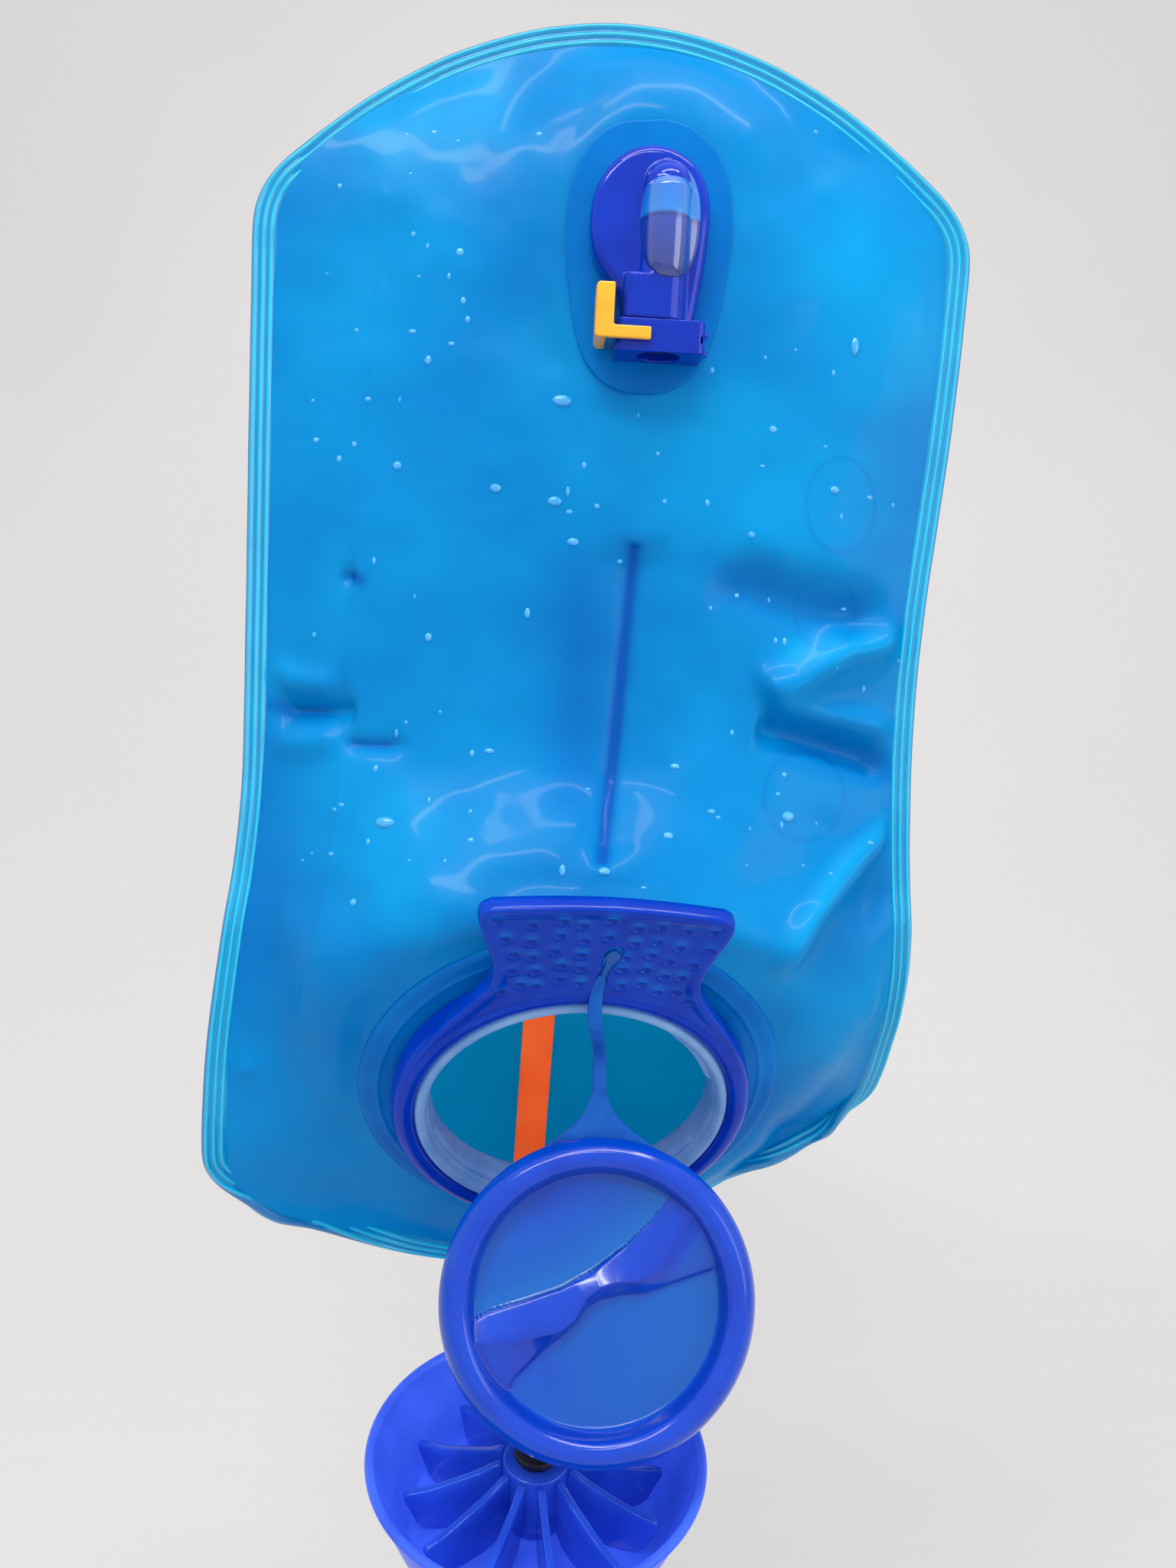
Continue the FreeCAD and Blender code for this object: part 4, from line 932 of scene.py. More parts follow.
# ------------------------------------------------------------------ tether strap
STRAP_PORT_END = [  # x, y, z in the port's frame
    (0.9, 60.0, -1.6), (0.3, 55.0, -1.1), (0.0, 52.2, 0.6), (-0.1, 50.0, 2.0),
    (0.5, 46.4, 3.2), (1.3, 42.5, 4.0)]
STRAP_LID_END = [  # x, y, z in the lid's frame
    (-2.0, 70.0, -2.2), (-2.0, 64.0, -3.2), (-1.7, 58.4, -3.4), (-1.5, 53.0, -3.4)]
STEM_PATH = [  # x, y, z in the port's frame
    (3.3, 69.6, -1.9), (3.1, 67.4, -1.6), (2.2, 63.6, -1.7), (1.3, 59.6, -1.9),
    (0.5, 55.5, -1.9)]


def build_tether():
    count = 90
    path = np.vstack([in_frame(PORT, STRAP_PORT_END), in_frame(LID, STRAP_LID_END)])
    path = resample(cut_corners(path, 4, closed=False), count, closed=False)
    widths = np.interp(np.linspace(0, 1, count), [0, 0.04, 0.2, 0.5, 0.85, 1.0],
                       [2.0, 3.4, 4.1, 3.9, 4.1, 4.6])
    strap = ribbon("tether_strap_band", path, widths, 1.5, PORT_X, TETHER)
    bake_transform(strap)
    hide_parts("tether_strap")

    count = 44
    path = resample(cut_corners(in_frame(PORT, STEM_PATH), 3, closed=False), count, closed=False)
    widths = np.interp(np.linspace(0, 1, count), [0, 0.06, 0.18, 0.36, 0.6, 1],
                       [1.0, 3.4, 4.4, 2.4, 1.8, 2.6])
    stem = ribbon("tether_head", path, widths, 1.2, PORT_X, TETHER_HEAD)
    place(stem, "bag", "tether_button")


# ------------------------------------------------------------------ handle
# Left side of the plate, from the ring up to the top corner: x, y in the port's frame
PLATE_SIDE = [
    (-49.6, 21.5), (-46.6, 29.5), (-43.0, 36.0), (-36.0, 46.0), (-31.2, 53.0), (-29.8, 58.0),
    (-30.2, 63.0), (-32.6, 70.0), (-35.0, 76.5), (-35.6, 79.8), (-34.6, 82.4), (-32.0, 84.0)]
PLATE_CORNER_X, PLATE_TOP_Y, PLATE_INNER_R = 32.0, 84.0, 49.6
PLATE_NU, PLATE_NV = 250, 230
# Keyhole and the slot down to the mouth: x, y in the port's frame, half width
KEYHOLE = np.array([
    (3.203, 68.756, 2.5), (2.313, 66.062, 2.3), (1.413, 61.856, 1.3), (0.801, 57.000, 1.4),
    (0.226, 53.298, 1.2), (-0.088, 50.809, 0.9), (0.557, 47.726, 1.5), (1.385, 43.347, 1.7)])


def plate_grid():
    """The plate's x and y grids, blended between its four sides; its outline and side."""
    side = resample(cut_corners(PLATE_SIDE, 3, closed=False), PLATE_NV, closed=False)
    x = np.linspace(-PLATE_CORNER_X, PLATE_CORNER_X, PLATE_NU)
    top = np.stack([x, PLATE_TOP_Y + 2.2 * (1 - (np.abs(x) / PLATE_CORNER_X) ** 1.8)], -1)
    start = math.atan2(side[0, 1], side[0, 0])
    arc = np.linspace(start, math.pi - start, PLATE_NU)
    radius = (PLATE_INNER_R + (np.hypot(*side[0]) - PLATE_INNER_R)
              * (np.abs(np.linspace(-1, 1, PLATE_NU)) ** 8))
    bottom = np.stack([np.cos(arc) * radius, np.sin(arc) * radius], -1)
    right = side * np.array([-1, 1])
    u = np.linspace(0, 1, PLATE_NU)[:, None, None]
    v = np.linspace(0, 1, PLATE_NV)[None, :, None]
    xy = ((1 - v) * bottom[:, None] + v * top[:, None] + (1 - u) * side[None] + u * right[None]
          - ((1 - u) * (1 - v) * bottom[0] + u * (1 - v) * bottom[-1]
             + (1 - u) * v * top[0] + u * v * top[-1]))
    outline = np.vstack([side, top, right[::-1]])[::3]
    return xy[..., 0], xy[..., 1], outline, side


def dimples(x, y, outline, side):
    """Depth and tint of the dimples, in slightly uneven columns that fan out upwards; the tint
    is painted light, a lighter patch above each dimple where light shows through the thin
    plastic.
    """
    rows, first_y, row_pitch, column_pitch = 8, 80.0, 5.3, 7.1
    rng = np.random.default_rng(4)
    depth, tint = np.zeros(x.shape), np.zeros(x.shape)
    for row in range(rows):
        for column in range(-5, 6):
            fan = 1.0 - 0.055 * row
            cx = column * column_pitch * fan * (1 + 0.05 * rng.normal()) + 0.8
            cy = (first_y - row_pitch * row - 0.0016 * cx ** 2 * (1 + row)
                  + 0.35 * rng.normal() - (1.4 if column % 2 else 0))
            if abs(cx) < 4.2 and row > 1:
                continue
            if row == 0 and abs(cx) > 31:
                continue
            to_edge = float(line_distance(cx, cy, outline))
            half = np.interp(cy, side[:, 1], -side[:, 0])
            if abs(cx) > half - 3.4 or to_edge < 3.0 or math.hypot(cx, cy) < 57.0:
                continue
            e = ((x - cx) / 1.45) ** 2 + ((y - cy) / 1.05) ** 2
            depth -= 0.75 * np.clip(1 - e, 0, 1) ** 0.8
            depth += 0.16 * np.exp(-((np.sqrt(e) - 1.25) / 0.25) ** 2)
            # painted light: a lighter patch just above the dimple
            tint += rng.uniform(0.15, 0.75) * np.exp(
                -(((x - cx) / 2.0) ** 2 + ((y - cy - 1.9) / 1.5) ** 2))
    return depth, tint


def keyhole_distance(x, y):
    """Distance outside the keyhole's edge; below 0 inside it."""
    best = np.full(x.shape, 9.0)
    for a, b in zip(KEYHOLE[:-1], KEYHOLE[1:]):
        distance, s = nearest_on_line(x, y, [a[:2], b[:2]])
        best = np.minimum(best, distance - (a[2] * (1 - s) + b[2] * s))
    return best


def build_handle():
    x, y, outline, side = plate_grid()
    edge = line_distance(x, y, outline)
    z = (-1.35 + 1.15 * np.sqrt(np.clip(1 - (1 - np.clip(edge / 2.2, 0, 1)) ** 2, 0, 1))
         - 2.3 * np.clip(1 - edge / 0.9, 0, 1) ** 2)
    z = z - 0.75 * ease((edge - 2.6) / 2.4)
    # flat where the plate meets the ring
    near_ring = ease((59.5 - np.hypot(x, y)) / 6.0)
    z = z * (1 - near_ring) + (-0.35) * near_ring
    depth, tint = dimples(x, y, outline, side)
    key = keyhole_distance(x, y)
    z = z + depth - 1.1 * ease((0.45 - key) / 0.9)
    # painted light in the keyhole slot as well
    tint = np.clip(tint + 0.9 * ease((0.3 - key) / 0.6), 0, 1)

    n = PLATE_NU * PLATE_NV
    upper = in_frame(PORT, np.stack([x, y, z], -1)).reshape(-1, 3)
    under = in_frame(PORT, np.stack([x, y, np.full(x.shape, -5.0)], -1)).reshape(-1, 3)
    quads = sheet_quads(PLATE_NU, PLATE_NV)
    i = np.arange(n).reshape(PLATE_NU, PLATE_NV)
    rim = np.concatenate([i[:-1, 0], i[-1, :-1], i[:0:-1, -1], i[0, :0:-1]])
    faces = as_faces(quads) + as_faces(quads[:, ::-1] + n)
    faces += [(int(a), int(b), int(b) + n, int(a) + n) for a, b in zip(rim, np.roll(rim, -1))]
    plate = add_mesh("handle_plate", np.vstack([upper, under]), faces, HANDLE)
    set_tint(plate, np.concatenate([tint.ravel() * 0.8, np.zeros(n)]))
    clean(plate)
    place(plate, "bag")

    paint(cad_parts["handle_ring"], MOULDING)
    inner, outer, low = LINER_FIT_R, RING_R, -10.4
    ring = lathe("handle_ring_body", [
        (inner, low), (outer - 0.8, low), (outer, low + 0.8), (outer, -4.6),
        (outer - 0.5, -2.2), (outer - 2.0, -0.5), (outer - 4.0, 0.15), (inner + 2.4, 0.1),
        (inner + 0.8, -0.5), (inner, -1.8), (inner, -6)], PORT, MOULDING, segments=220)
    place(ring, "bag", "handle_ring")


# ------------------------------------------------------------------ inside the bag
def film_line(surface, x, z_start, z_end, count):
    """Points of a film along a line of constant x between two heights."""
    t = np.linspace(0.2, 0.99, 700)
    q = (x + 5.0 * ease((t - 0.5) / 0.5)) / half_width(t)
    p = surface(q, t)
    order = np.argsort(p[:, 2])
    z = np.linspace(z_start, z_end, count)
    return np.stack([np.full(count, x), np.interp(z, p[order, 2], p[order, 1]), z], -1)


def build_spreader():
    """The orange band just inside the back film."""
    count = 70
    path = film_line(back, -12.0, 52.0, -44.0, count)
    path[:, 1] -= 3.6 + 0.25 * np.sin(np.linspace(0, 5, count))
    path[:, 0] += np.linspace(1.1, -1.2, count)
    band = ribbon("spreader_band", path, np.full(count, 10.6), 0.9, X_AXIS, ORANGE)
    place(band, "bag", "spreader_strap")


def build_web():
    """The wavy web between the films, its feet turned to the right."""
    down, across = 60, 26
    near, far = (film_line(surface, 7.0, 73.0, 169.0, down) for surface in (front, back))
    near[:, 1] += 6.5
    far[:, 1] -= 5.0
    s = np.linspace(0, 1, across)
    web = near[:, None] * (1 - s[None, :, None]) + far[:, None] * s[None, :, None]
    web[..., 0] += 1.6 * np.sin(math.pi * s)[None] * np.sin(np.linspace(0, 7, down))[:, None]
    foot = np.exp(-(s / 0.06) ** 2) + np.exp(-((1 - s) / 0.06) ** 2)
    web[..., 0] += 3.0 * foot[None]
    obj = add_clean("centre_web", web.reshape(-1, 3), as_faces(sheet_quads(down, across)), WELD)
    thicken(obj, 0.8)
    place(obj, "bag", "centre_baffle")


# ------------------------------------------------------------------ lid
# The diagonal grip's upper edge, lower edge and the crease between: x, y in the lid's frame
GRIP_TOP = [(-40, -8.0), (-36.4, -6.7), (-31.1, -4), (-21, -0.8), (-10.8, 2.9), (-2, 8.0),
            (7.4, 15.3), (14, 21.8), (20.2, 29.6), (24, 36)]
GRIP_LOW = [(-28, -33), (-25.1, -27.7), (-22.5, -22.2), (-16, -15.6), (-8.5, -9.4),
            (-5.6, -6.4), (-3.2, -2.9), (0.5, -0.4), (7.4, 1.3), (13.9, 1.9), (24, 5.8),
            (36.4, 10.5), (40, 12)]
GRIP_CREASE = [(-40, -13), (-36.4, -12.6), (-24, -11.2), (-10.8, -8.4), (-6.4, -5),
               (-3.2, 1.3), (0.6, 4.2), (5.3, 5.7), (12.3, 6.6), (16.4, 9.0), (19.2, 12.4),
               (23.5, 19.5), (26.7, 26), (30, 34)]
LID_FLOOR_Z = -2.6
LID_RIM = [(34.2, LID_FLOOR_Z), (35.1, -2.3), (35.8, -1.0), (36.2, 1.0), (36.9, 2.9),
           (38.2, 4.1), (40.2, 4.6), (42.2, 4.2), (43.8, 3.0), (44.9, 1.5), (45.3, 0.4)]  # r, z
LID_UNDERSIDE = [  # r, z
    (45.5, 0.0), (45.5, -0.9), (44.9, -1.9), (42.2, -1.9), (42, -3), (42, -4.8), (41.4, -5.2),
    (41.4, -8.4), (39.8, -8.8), (39.6, -9.8), (39.8, -10.8), (41.2, -11.2), (41.3, -13),
    (40.6, -14.1), (39, -14.2), (37.4, -13.8), (37.4, -6), (37, -4.8), (34, -4.6),
    (9.4, -4.6), (9, -5.2), (9, -9), (8.2, -9.3), (2, -9.3)]


def grip_relief(x, y):
    """Height of the lid's grip above the recess floor, and its tint: painted shade and light
    over the recess's own lighter tone.
    """
    top, low, crease = (np.interp(x, *zip(*line)) for line in (GRIP_TOP, GRIP_LOW, GRIP_CREASE))
    below_top = (y < top) | (x > GRIP_TOP[-1][0])
    above_low = (y > low) | (x < GRIP_LOW[0][0])
    inside = below_top & above_low
    to_top, to_low, to_crease = (line_distance(x, y, line)
                                 for line in (GRIP_TOP, GRIP_LOW, GRIP_CREASE))
    upper = y > crease
    to_edge = np.where(upper, to_top, to_low)
    f = to_edge / np.maximum(to_edge + to_crease, 1e-6)
    grip = np.where(upper, 1.0 + 3.4 * f ** 0.85, 0.7 + 3.7 * f ** 0.9)
    nearest = np.minimum(to_top, to_low)
    signed = np.where(inside, nearest, -nearest)
    height = grip * ease((signed + 0.9) / 1.8)
    # the recess floor rises a little towards the grip's upper edge
    height += 0.9 * np.exp(-(to_top / 3.0) ** 2) * (~below_top)

    # the recess is a lighter tone than the grip in its own colour
    tint = np.where(inside, 0.0, 0.62)
    # painted light along the grip's upper edge, painted shade in the upper recess away from it
    tint = tint + np.where(
        ~below_top, 0.34 * np.exp(-(to_top / 5.5) ** 2)
        - 0.52 * ease((to_top - 4) / 26.0) * ease((x + y + 30) / 50.0), 0)
    # painted light to the right of the lower recess, a patch of painted shade to its left
    tint = tint + np.where(
        ~above_low, 0.18 * ease((x - 2) / 26.0)
        - 0.26 * np.exp(-((x + 14) / 9.0) ** 2 - ((y + 22) / 8.0) ** 2), 0)
    # painted light on the grip's lower half, to the right
    tint = tint + np.where(inside & ~upper & (x > 12), 0.42 * ease((to_crease - 1.0) / 6.0), 0)
    # painted highlight along the grip's upper edge
    tint = tint + np.where(inside & upper, 0.14 * np.exp(-(to_top / 1.6) ** 2), 0)
    # painted shade along the grip's low edge and along its crease
    tint = (tint - 0.35 * np.exp(-(to_low / 1.3) ** 2)
            - 0.25 * np.where(inside, np.exp(-(to_crease / 2.2) ** 2), 0))
    return height, tint


def build_lid():
    r = np.concatenate([np.linspace(0, 33.0, 100), np.linspace(33.3, 45.3, 60)])
    rim_r, rim_z = zip(*LID_RIM)
    z = np.interp(r, (0,) + rim_r, (LID_FLOOR_Z,) + rim_z)
    for _ in range(4):
        z[2:-1] = 0.25 * z[1:-2] + 0.5 * z[2:-1] + 0.25 * z[3:]
    under = cut_corners(LID_UNDERSIDE, 2, closed=False)
    all_r = np.concatenate([r, under[:, 0]])
    rows, top_rows, segments = len(all_r), len(r), 440
    angle = np.linspace(0, 2 * math.pi, segments, endpoint=False)
    gx = all_r[:, None] * np.cos(angle)[None]
    gy = all_r[:, None] * np.sin(angle)[None]
    gz = np.repeat(np.concatenate([z, under[:, 1]])[:, None], segments, 1)
    height, grip_tone_and_painted_light = grip_relief(gx[:top_rows], gy[:top_rows])
    r = r[:, None]
    gz[:top_rows] = np.maximum(gz[:top_rows], np.where(r < 37.0, LID_FLOOR_Z + height, -9))

    tint = np.zeros(gx.shape)
    tint[:top_rows] = grip_tone_and_painted_light * ease((36.2 - r) / 1.2)
    # painted shadow of the rim's inner edge on the recess floor
    tint[:top_rows] += -0.38 * np.exp(-((r - 36.0) / 1.1) ** 2)
    # painted light: a lighter outer rim, most of all to the lower left
    lean = np.maximum(np.cos(angle[None] - math.radians(200)), 0)
    tint[:top_rows] += 0.22 * ease((r - 41.0) / 3.5) * (0.4 + 0.6 * lean)

    v = in_frame(LID, np.stack([gx, gy, gz], -1)).reshape(-1, 3)
    v = np.vstack([v, in_frame(LID, np.array([[0, 0, -9.3]]))])
    faces = loop_faces(rows, segments, flip=True)
    faces += fan_faces((rows - 1) * segments, segments, rows * segments)
    lid = add_mesh("lid_moulding", v, faces, LID_BLUE)
    set_tint(lid, np.concatenate([tint.ravel(), [0.0]]))
    clean(lid)
    place(lid, "lid", "lid_body")

    seal = lathe("lid_seal_ring", [
        (39.75, -10.9), (41.9, -10.9), (42.0, -9.9), (41.9, -8.75), (39.75, -8.75),
        (39.7, -9.8)], LID, RUBBER)
    place(seal, "lid", "lid_seal")


# Where the tether widens into its ring: x, y in the lid's frame
FLARE_OUTLINE = [
    (-3.8, 58.6), (-3.9, 57.6), (-4.4, 55.6), (-5.8, 52.4), (-8.0, 49.2), (-11.2, 46.2),
    (-16.0, 42.8), (-19.0, 40.2), (-14.5, 41.2), (-6.0, 43.4), (0, 43.8), (6.0, 43.4),
    (14.0, 41.4), (18.5, 40.4), (15.0, 43.0), (9.6, 46.4), (5.6, 49.4), (2.6, 52.8),
    (1.1, 55.8), (0.6, 57.8), (0.4, 58.6)]


def build_tether_ring():
    ring = lathe("tether_neck_ring", [
        (42.3, -4.6), (44.9, -4.6), (45.1, -3.4), (44.9, -2.2), (42.3, -2.2), (42.2, -3.4)],
        LID, TETHER, segments=200)
    place(ring, "neck", "tether_ring")

    n = 140
    outline = resample(cut_corners(FLARE_OUTLINE, 3), n)
    v = [(x, y, z) for z in (-4.3, -2.5) for x, y in outline]
    faces = [tuple(range(n)), tuple(range(2 * n - 1, n - 1, -1))]
    faces += [(i, (i + 1) % n, (i + 1) % n + n, i + n) for i in range(n)]
    flare = add_clean("tether_flare", in_frame(LID, np.array(v)), faces, TETHER)
    round_edges(flare, width=0.55, segments=4).angle_limit = math.radians(50)
    place(flare, "neck")


# ------------------------------------------------------------------ cap
CUP_PROFILE = [  # r, z
    (1.0, -27), (20, -27), (37, -27), (39.4, -26.2), (41.4, -24.0), (44.8, -16), (48.5, -7),
    (50.4, -2), (51.8, -0.9), (52.2, 0.4), (51.5, 1.6), (50.2, 1.7), (49.2, 0.7),
    (48.4, -2.2), (46.4, -7.2), (42.6, -16), (39.4, -23.6), (38.2, -24.8), (36, -25.1),
    (20, -25.1), (1.0, -25.1)]
VANE_OUTLINE = [  # r, z
    (10.6, -25.0), (34.6, -25.0), (38.5, -16.5), (40.8, -12), (38.0, -10.9), (33, -10.6),
    (18, -6.2), (12.5, -3.4), (10.6, -3.2)]
HUB_PROFILE = [  # r, z
    (5.3, -24.9), (10.5, -24.9), (10.5, -6), (10.4, -3.4), (9.8, -2.6), (6.2, -2.6),
    (5.4, -3.2), (5.3, -8)]
# Layers through a vane's thickness: offset (mm), size of the outline
VANE_LAYERS = ((-1.05, 0.955), (-0.95, 0.985), (-0.7, 1.0), (0.7, 1.0), (0.95, 0.985),
               (1.05, 0.955))


def build_vanes():
    """Radial vanes on the cap's floor, evenly spaced, with softened edges."""
    count = 12
    outline = cut_corners(VANE_OUTLINE)
    centre, n = outline.mean(0), len(outline)
    v, faces = [], []
    for k in range(count):
        a = math.radians(9 + 360 // count * k)
        ca, sa = math.cos(a), math.sin(a)

        def turned(r, z, offset):
            return (r * ca - offset * sa, r * sa + offset * ca, z)
        base = len(v)
        for offset, size in VANE_LAYERS:
            v += [turned(r, z, offset) for r, z in centre + (outline - centre) * size]
        faces += loop_faces(len(VANE_LAYERS), n, base=base, flip=True)
        for i in (0, len(VANE_LAYERS) - 1):
            faces += fan_faces(base + i * n, n, len(v))
            v.append(turned(centre[0], centre[1], VANE_LAYERS[i][0]))
    vanes = add_clean("cap_vanes", in_frame(CAP, np.array(v)), faces, RIB_VIOLET)
    place(vanes, "cap", "cap_ribs")


def build_cap():
    cup = lathe("cap_cup", CUP_PROFILE, CAP, CAP_VIOLET, segments=220)
    place(cup, "cap", "cap_shell")
    build_vanes()
    hub = lathe("cap_hub_tube", HUB_PROFILE, CAP, RIB_VIOLET, segments=96)
    place(hub, "cap", "cap_hub")


# ------------------------------------------------------------------ outlet
def build_window():
    """The glossy domed lens over the outlet's thumb window, with a short skirt."""
    rings, around = 46, 120
    power = 2.0 / 2.35
    barrel_x, barrel_r, barrel_z = 4.0, 7.25, 8.6
    v = []
    for i in range(rings):
        rho = i / (rings - 1)
        for k in range(around):
            a = 2 * math.pi * k / around
            cx, cy = (abs(c) ** power * math.copysign(1, c) for c in (math.cos(a), math.sin(a)))
            x, y = 5.2 + 8.5 * rho * cx, 6.6 + 16.0 * rho * cy
            base = barrel_z + math.sqrt(max(0.0, barrel_r ** 2 - (x - barrel_x) ** 2))
            base = max(base, 11.3) if y < 15 else max(base - (y - 15) * 0.9, 10.8)
            v.append((x, y, base - 0.5 + 3.1 * (1 - rho ** 2.6) ** 0.55))
    v += [(x, y, 9.0) for x, y, _ in v[-around:]]
    lens = add_clean("thumb_window_lens", in_frame(OUTLET, np.array(v)),
                     loop_faces(rings + 1, around, flip=True), WINDOW)
    lens.modifiers.new("soften", "SMOOTH").iterations = 3
    place(lens, "bag", "thumb_window")


def build_spring(node, axis):
    """A steel copy of the CAD coil, carried by the bag, with the CAD part hidden."""
    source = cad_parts[node]
    coil = bpy.data.objects.new(node + "_coil", source.data.copy())
    bpy.context.collection.objects.link(coil)
    coil.matrix_world = source.matrix_world.copy()
    low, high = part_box(node)
    k = axis.index(1)
    anchor = [(a + b) / 2 for a, b in zip(low, high)]
    anchor[k] = high[k]
    paint(coil, STEEL)
    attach(coil, "bag")
    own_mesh(coil)
    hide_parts(node)


# CAD pieces kept as they are: node, material, slot, voxel size (mm) and smoothing passes
# of those whose edges are rounded
KEPT_PIECES = [
    ("exit_housing", HOUSING, "moulding_blue", 0.4, 8),
    ("exit_collar", HOUSING, "moulding_blue", 0.35, 6),
    ("exit_flange", OUTLET_FLANGE, "weld", 0.35, 4),
    ("release_button", YELLOW, "yellow", 0.28, 4),
    ("socket_oring", RUBBER, "rubber", None, None),
    ("latch_plate", STEEL, "steel", None, None),
    ("valve_poppet", WHITE, "valve_white", None, None),
    ("valve_oring", RUBBER, "rubber", None, None),
    ("swivel_fork", RUBBER, "rubber", 0.3, 5),
    ("link_pin", STEEL, "steel", None, None),
    ("cap_link", RUBBER, "rubber", 0.3, 5),
    ("cap_stud", RUBBER, "rubber", 0.3, 4),
]


def finish_kept_pieces():
    for node, material, slot, voxel, passes in KEPT_PIECES:
        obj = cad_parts[node]
        if voxel:
            m = obj.modifiers.new("voxel", "REMESH")
            m.mode, m.voxel_size, m.use_smooth_shade = "VOXEL", voxel * MM, True
            m = obj.modifiers.new("soften", "SMOOTH")
            m.factor, m.iterations = 0.5, passes
        paint(obj, material)


# ------------------------------------------------------------------ beads on the front film
# Placed beads: x, z on the layout plane, radius before scaling
BEADS = [
    (-7.0, 100.2, 1.5), (-24.0, 77.2, 1.0), (-9.0, 73.8, 1.2), (-3.8, 63.4, 1.0),
    (69.6, 114.2, 1.3), (-52.8, -9.6, 1.6), (52.4, -8.4, 1.3), (-6.6, -23.0, 0.9),
    (4.0, -23.0, 1.1), (21.0, -13.0, 0.9), (-33.6, 138.8, 0.8), (-41.6, 110.8, 0.8),
    (-49.6, 82.8, 0.9), (-15.6, 44.8, 0.8), (-41.6, 38.8, 0.8), (48.4, 92.8, 0.8),
    (64.4, 76.8, 0.9), (42.4, 64.8, 0.7), (-25.6, 8.8, 0.8), (22.4, 4.8, 0.8),
    (32.4, -7.2, 0.7), (-61.6, -31.2, 0.8)]
BEAD_SCALE, BEAD_SINK, BEAD_HEIGHT = 1.45, -0.12, 0.55


def build_beads(film):
    """Low domes on the front film: the placed ones and 90 small scattered ones."""
    film_x, film_z = on_layout(film)
    normals = grid_normals(film)
    if normals[film.shape[0] // 2, film.shape[1] // 3, 1] > 0:
        normals = -normals
    rng = np.random.default_rng(12)
    beads = BEADS + [(rng.uniform(-77.6, 82.4), 170.8 - rng.uniform(0, 202.0),
                      rng.uniform(0.3, 0.65)) for _ in range(90)]
    rings, around = 6, 12
    v, faces = [], []
    for x, z, radius in beads:
        radius *= BEAD_SCALE
        i, j = np.unravel_index(np.argmin((film_x - x) ** 2 + (film_z - z) ** 2), film_x.shape)
        n, foot = normals[i, j], film[i, j]
        outlet = np.hypot((foot[0] - OUTLET_X) / 0.66, foot[2] - OUTLET_Z)
        if np.hypot(foot @ PORT_X, foot @ PORT_Y) < 68 or outlet < 40:
            continue
        a = np.cross(n, [0, 0, 1.0])
        a /= np.linalg.norm(a)
        b = np.cross(n, a)
        base = len(v)
        stretch = 1 + 0.35 * rng.uniform(-1, 1)
        for ring in range(rings):
            rise = (ring / rings) * math.pi / 2
            for k in range(around):
                turn = 2 * math.pi * k / around
                spread = a * math.cos(turn) * stretch + b * math.sin(turn) / stretch
                v.append(foot + n * (BEAD_SINK + BEAD_HEIGHT * radius * math.sin(rise))
                         + spread * radius * math.cos(rise))
        v.append(foot + n * (BEAD_SINK + BEAD_HEIGHT * radius))
        faces += loop_faces(rings, around, base=base, flip=True)
        faces += fan_faces(base + (rings - 1) * around, around, base + rings * around)
    place(add_clean("film_beads", np.array(v), faces, BEAD), "bag")


# ------------------------------------------------------------------ stage, light and camera
def build_stage():
    """A floor that sweeps up into a back wall."""
    half, floor, bend_y, bend_r = 7000, -420, 100, 1100
    profile = [(-2400, floor), (bend_y, floor)]
    profile += [(bend_y + bend_r * math.sin(a), floor + bend_r * (1 - math.cos(a)))
                for a in np.linspace(0.04, math.pi / 2, 40)]
    profile += [(bend_y + bend_r, 2800)]
    v = [(x, y, z) for y, z in profile for x in (-half, half)]
    faces = [(2 * i, 2 * i + 1, 2 * i + 3, 2 * i + 2) for i in range(len(profile) - 1)]
    add_mesh("stage_sweep", v, faces, pale_wall(), smooth=False)


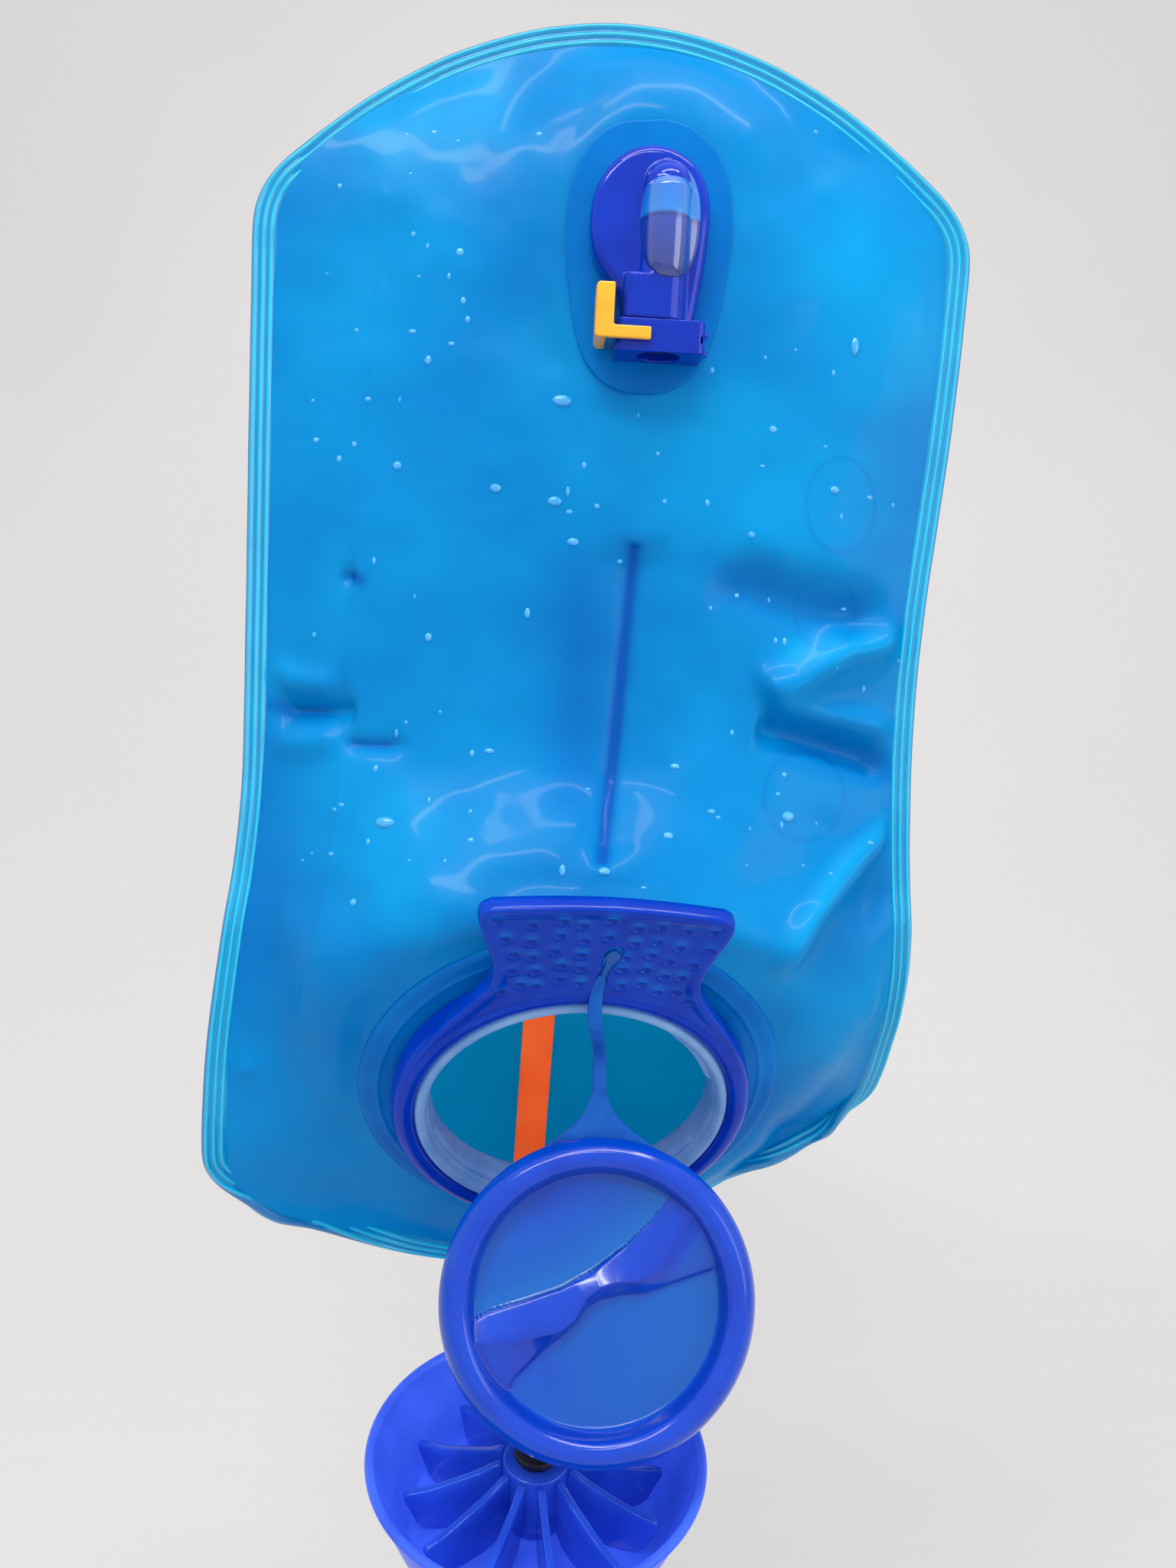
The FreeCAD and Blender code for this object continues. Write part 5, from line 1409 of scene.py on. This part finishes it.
def area_light(name, at, target, size, power, color, size_y=None):
    """Places and sizes in metres, power in watts."""
    light = bpy.data.lights.new(name, "AREA")
    light.energy, light.size, light.color = power, size, color
    if size_y:
        light.shape, light.size_y = "RECTANGLE", size_y
    obj = bpy.data.objects.new(name, light)
    bpy.context.collection.objects.link(obj)
    obj.location = at
    obj.visible_camera = False
    obj.rotation_euler = (Vector(target) - Vector(at)).to_track_quat("-Z", "Y").to_euler()


def light_scene():
    area_light("key", at=(-0.45, -0.95, 1.35), target=(0.0, 0.0, 0.08), size=1.3, power=13,
               color=(1.0, 0.99, 0.97), size_y=0.10)
    area_light("top", at=(0.10, -0.35, 1.25), target=(0.0, 0.0, -0.02), size=1.1, power=7,
               color=(1.0, 1.0, 1.0), size_y=0.09)
    area_light("fill", at=(1.5, -0.9, 0.35), target=(0.0, 0.0, 0.05), size=1.0, power=7,
               color=(0.96, 0.98, 1.0))
    world = bpy.data.worlds.new("soft")
    bpy.context.scene.world = world
    world.use_nodes = True
    background = [n for n in world.node_tree.nodes if n.type == "BACKGROUND"][0]
    background.inputs["Color"].default_value = (0.90, 0.93, 0.97, 1)
    background.inputs["Strength"].default_value = 0.90
    view = bpy.context.scene.view_settings
    view.view_transform, view.look, view.exposure, view.gamma = "Standard", "None", 0.0, 1.0


def add_camera():
    camera = bpy.data.cameras.new("camera")
    camera.sensor_fit, camera.sensor_width, camera.sensor_height = "AUTO", 36, 36
    camera.lens = CAMERA_LENS
    camera.clip_start, camera.clip_end = 0.01, 20
    obj = bpy.data.objects.new("camera", camera)
    bpy.context.collection.objects.link(obj)
    right, forward, up = CAMERA_AXES.T
    rows = np.stack([right, up, -forward, CAMERA_AT * MM], -1)
    obj.matrix_world = Matrix([*rows.tolist(), (0, 0, 0, 1)])
    bpy.context.scene.camera = obj


front_points = build_films()
build_seam()
build_port()
build_tether()
build_handle()
build_spreader()
build_web()
build_lid()
build_tether_ring()
build_cap()
build_window()
build_spring("valve_spring", (0, 0, 1))
build_spring("button_spring", (1, 0, 0))
finish_kept_pieces()
build_beads(front_points)
build_stage()
light_scene()
add_camera()
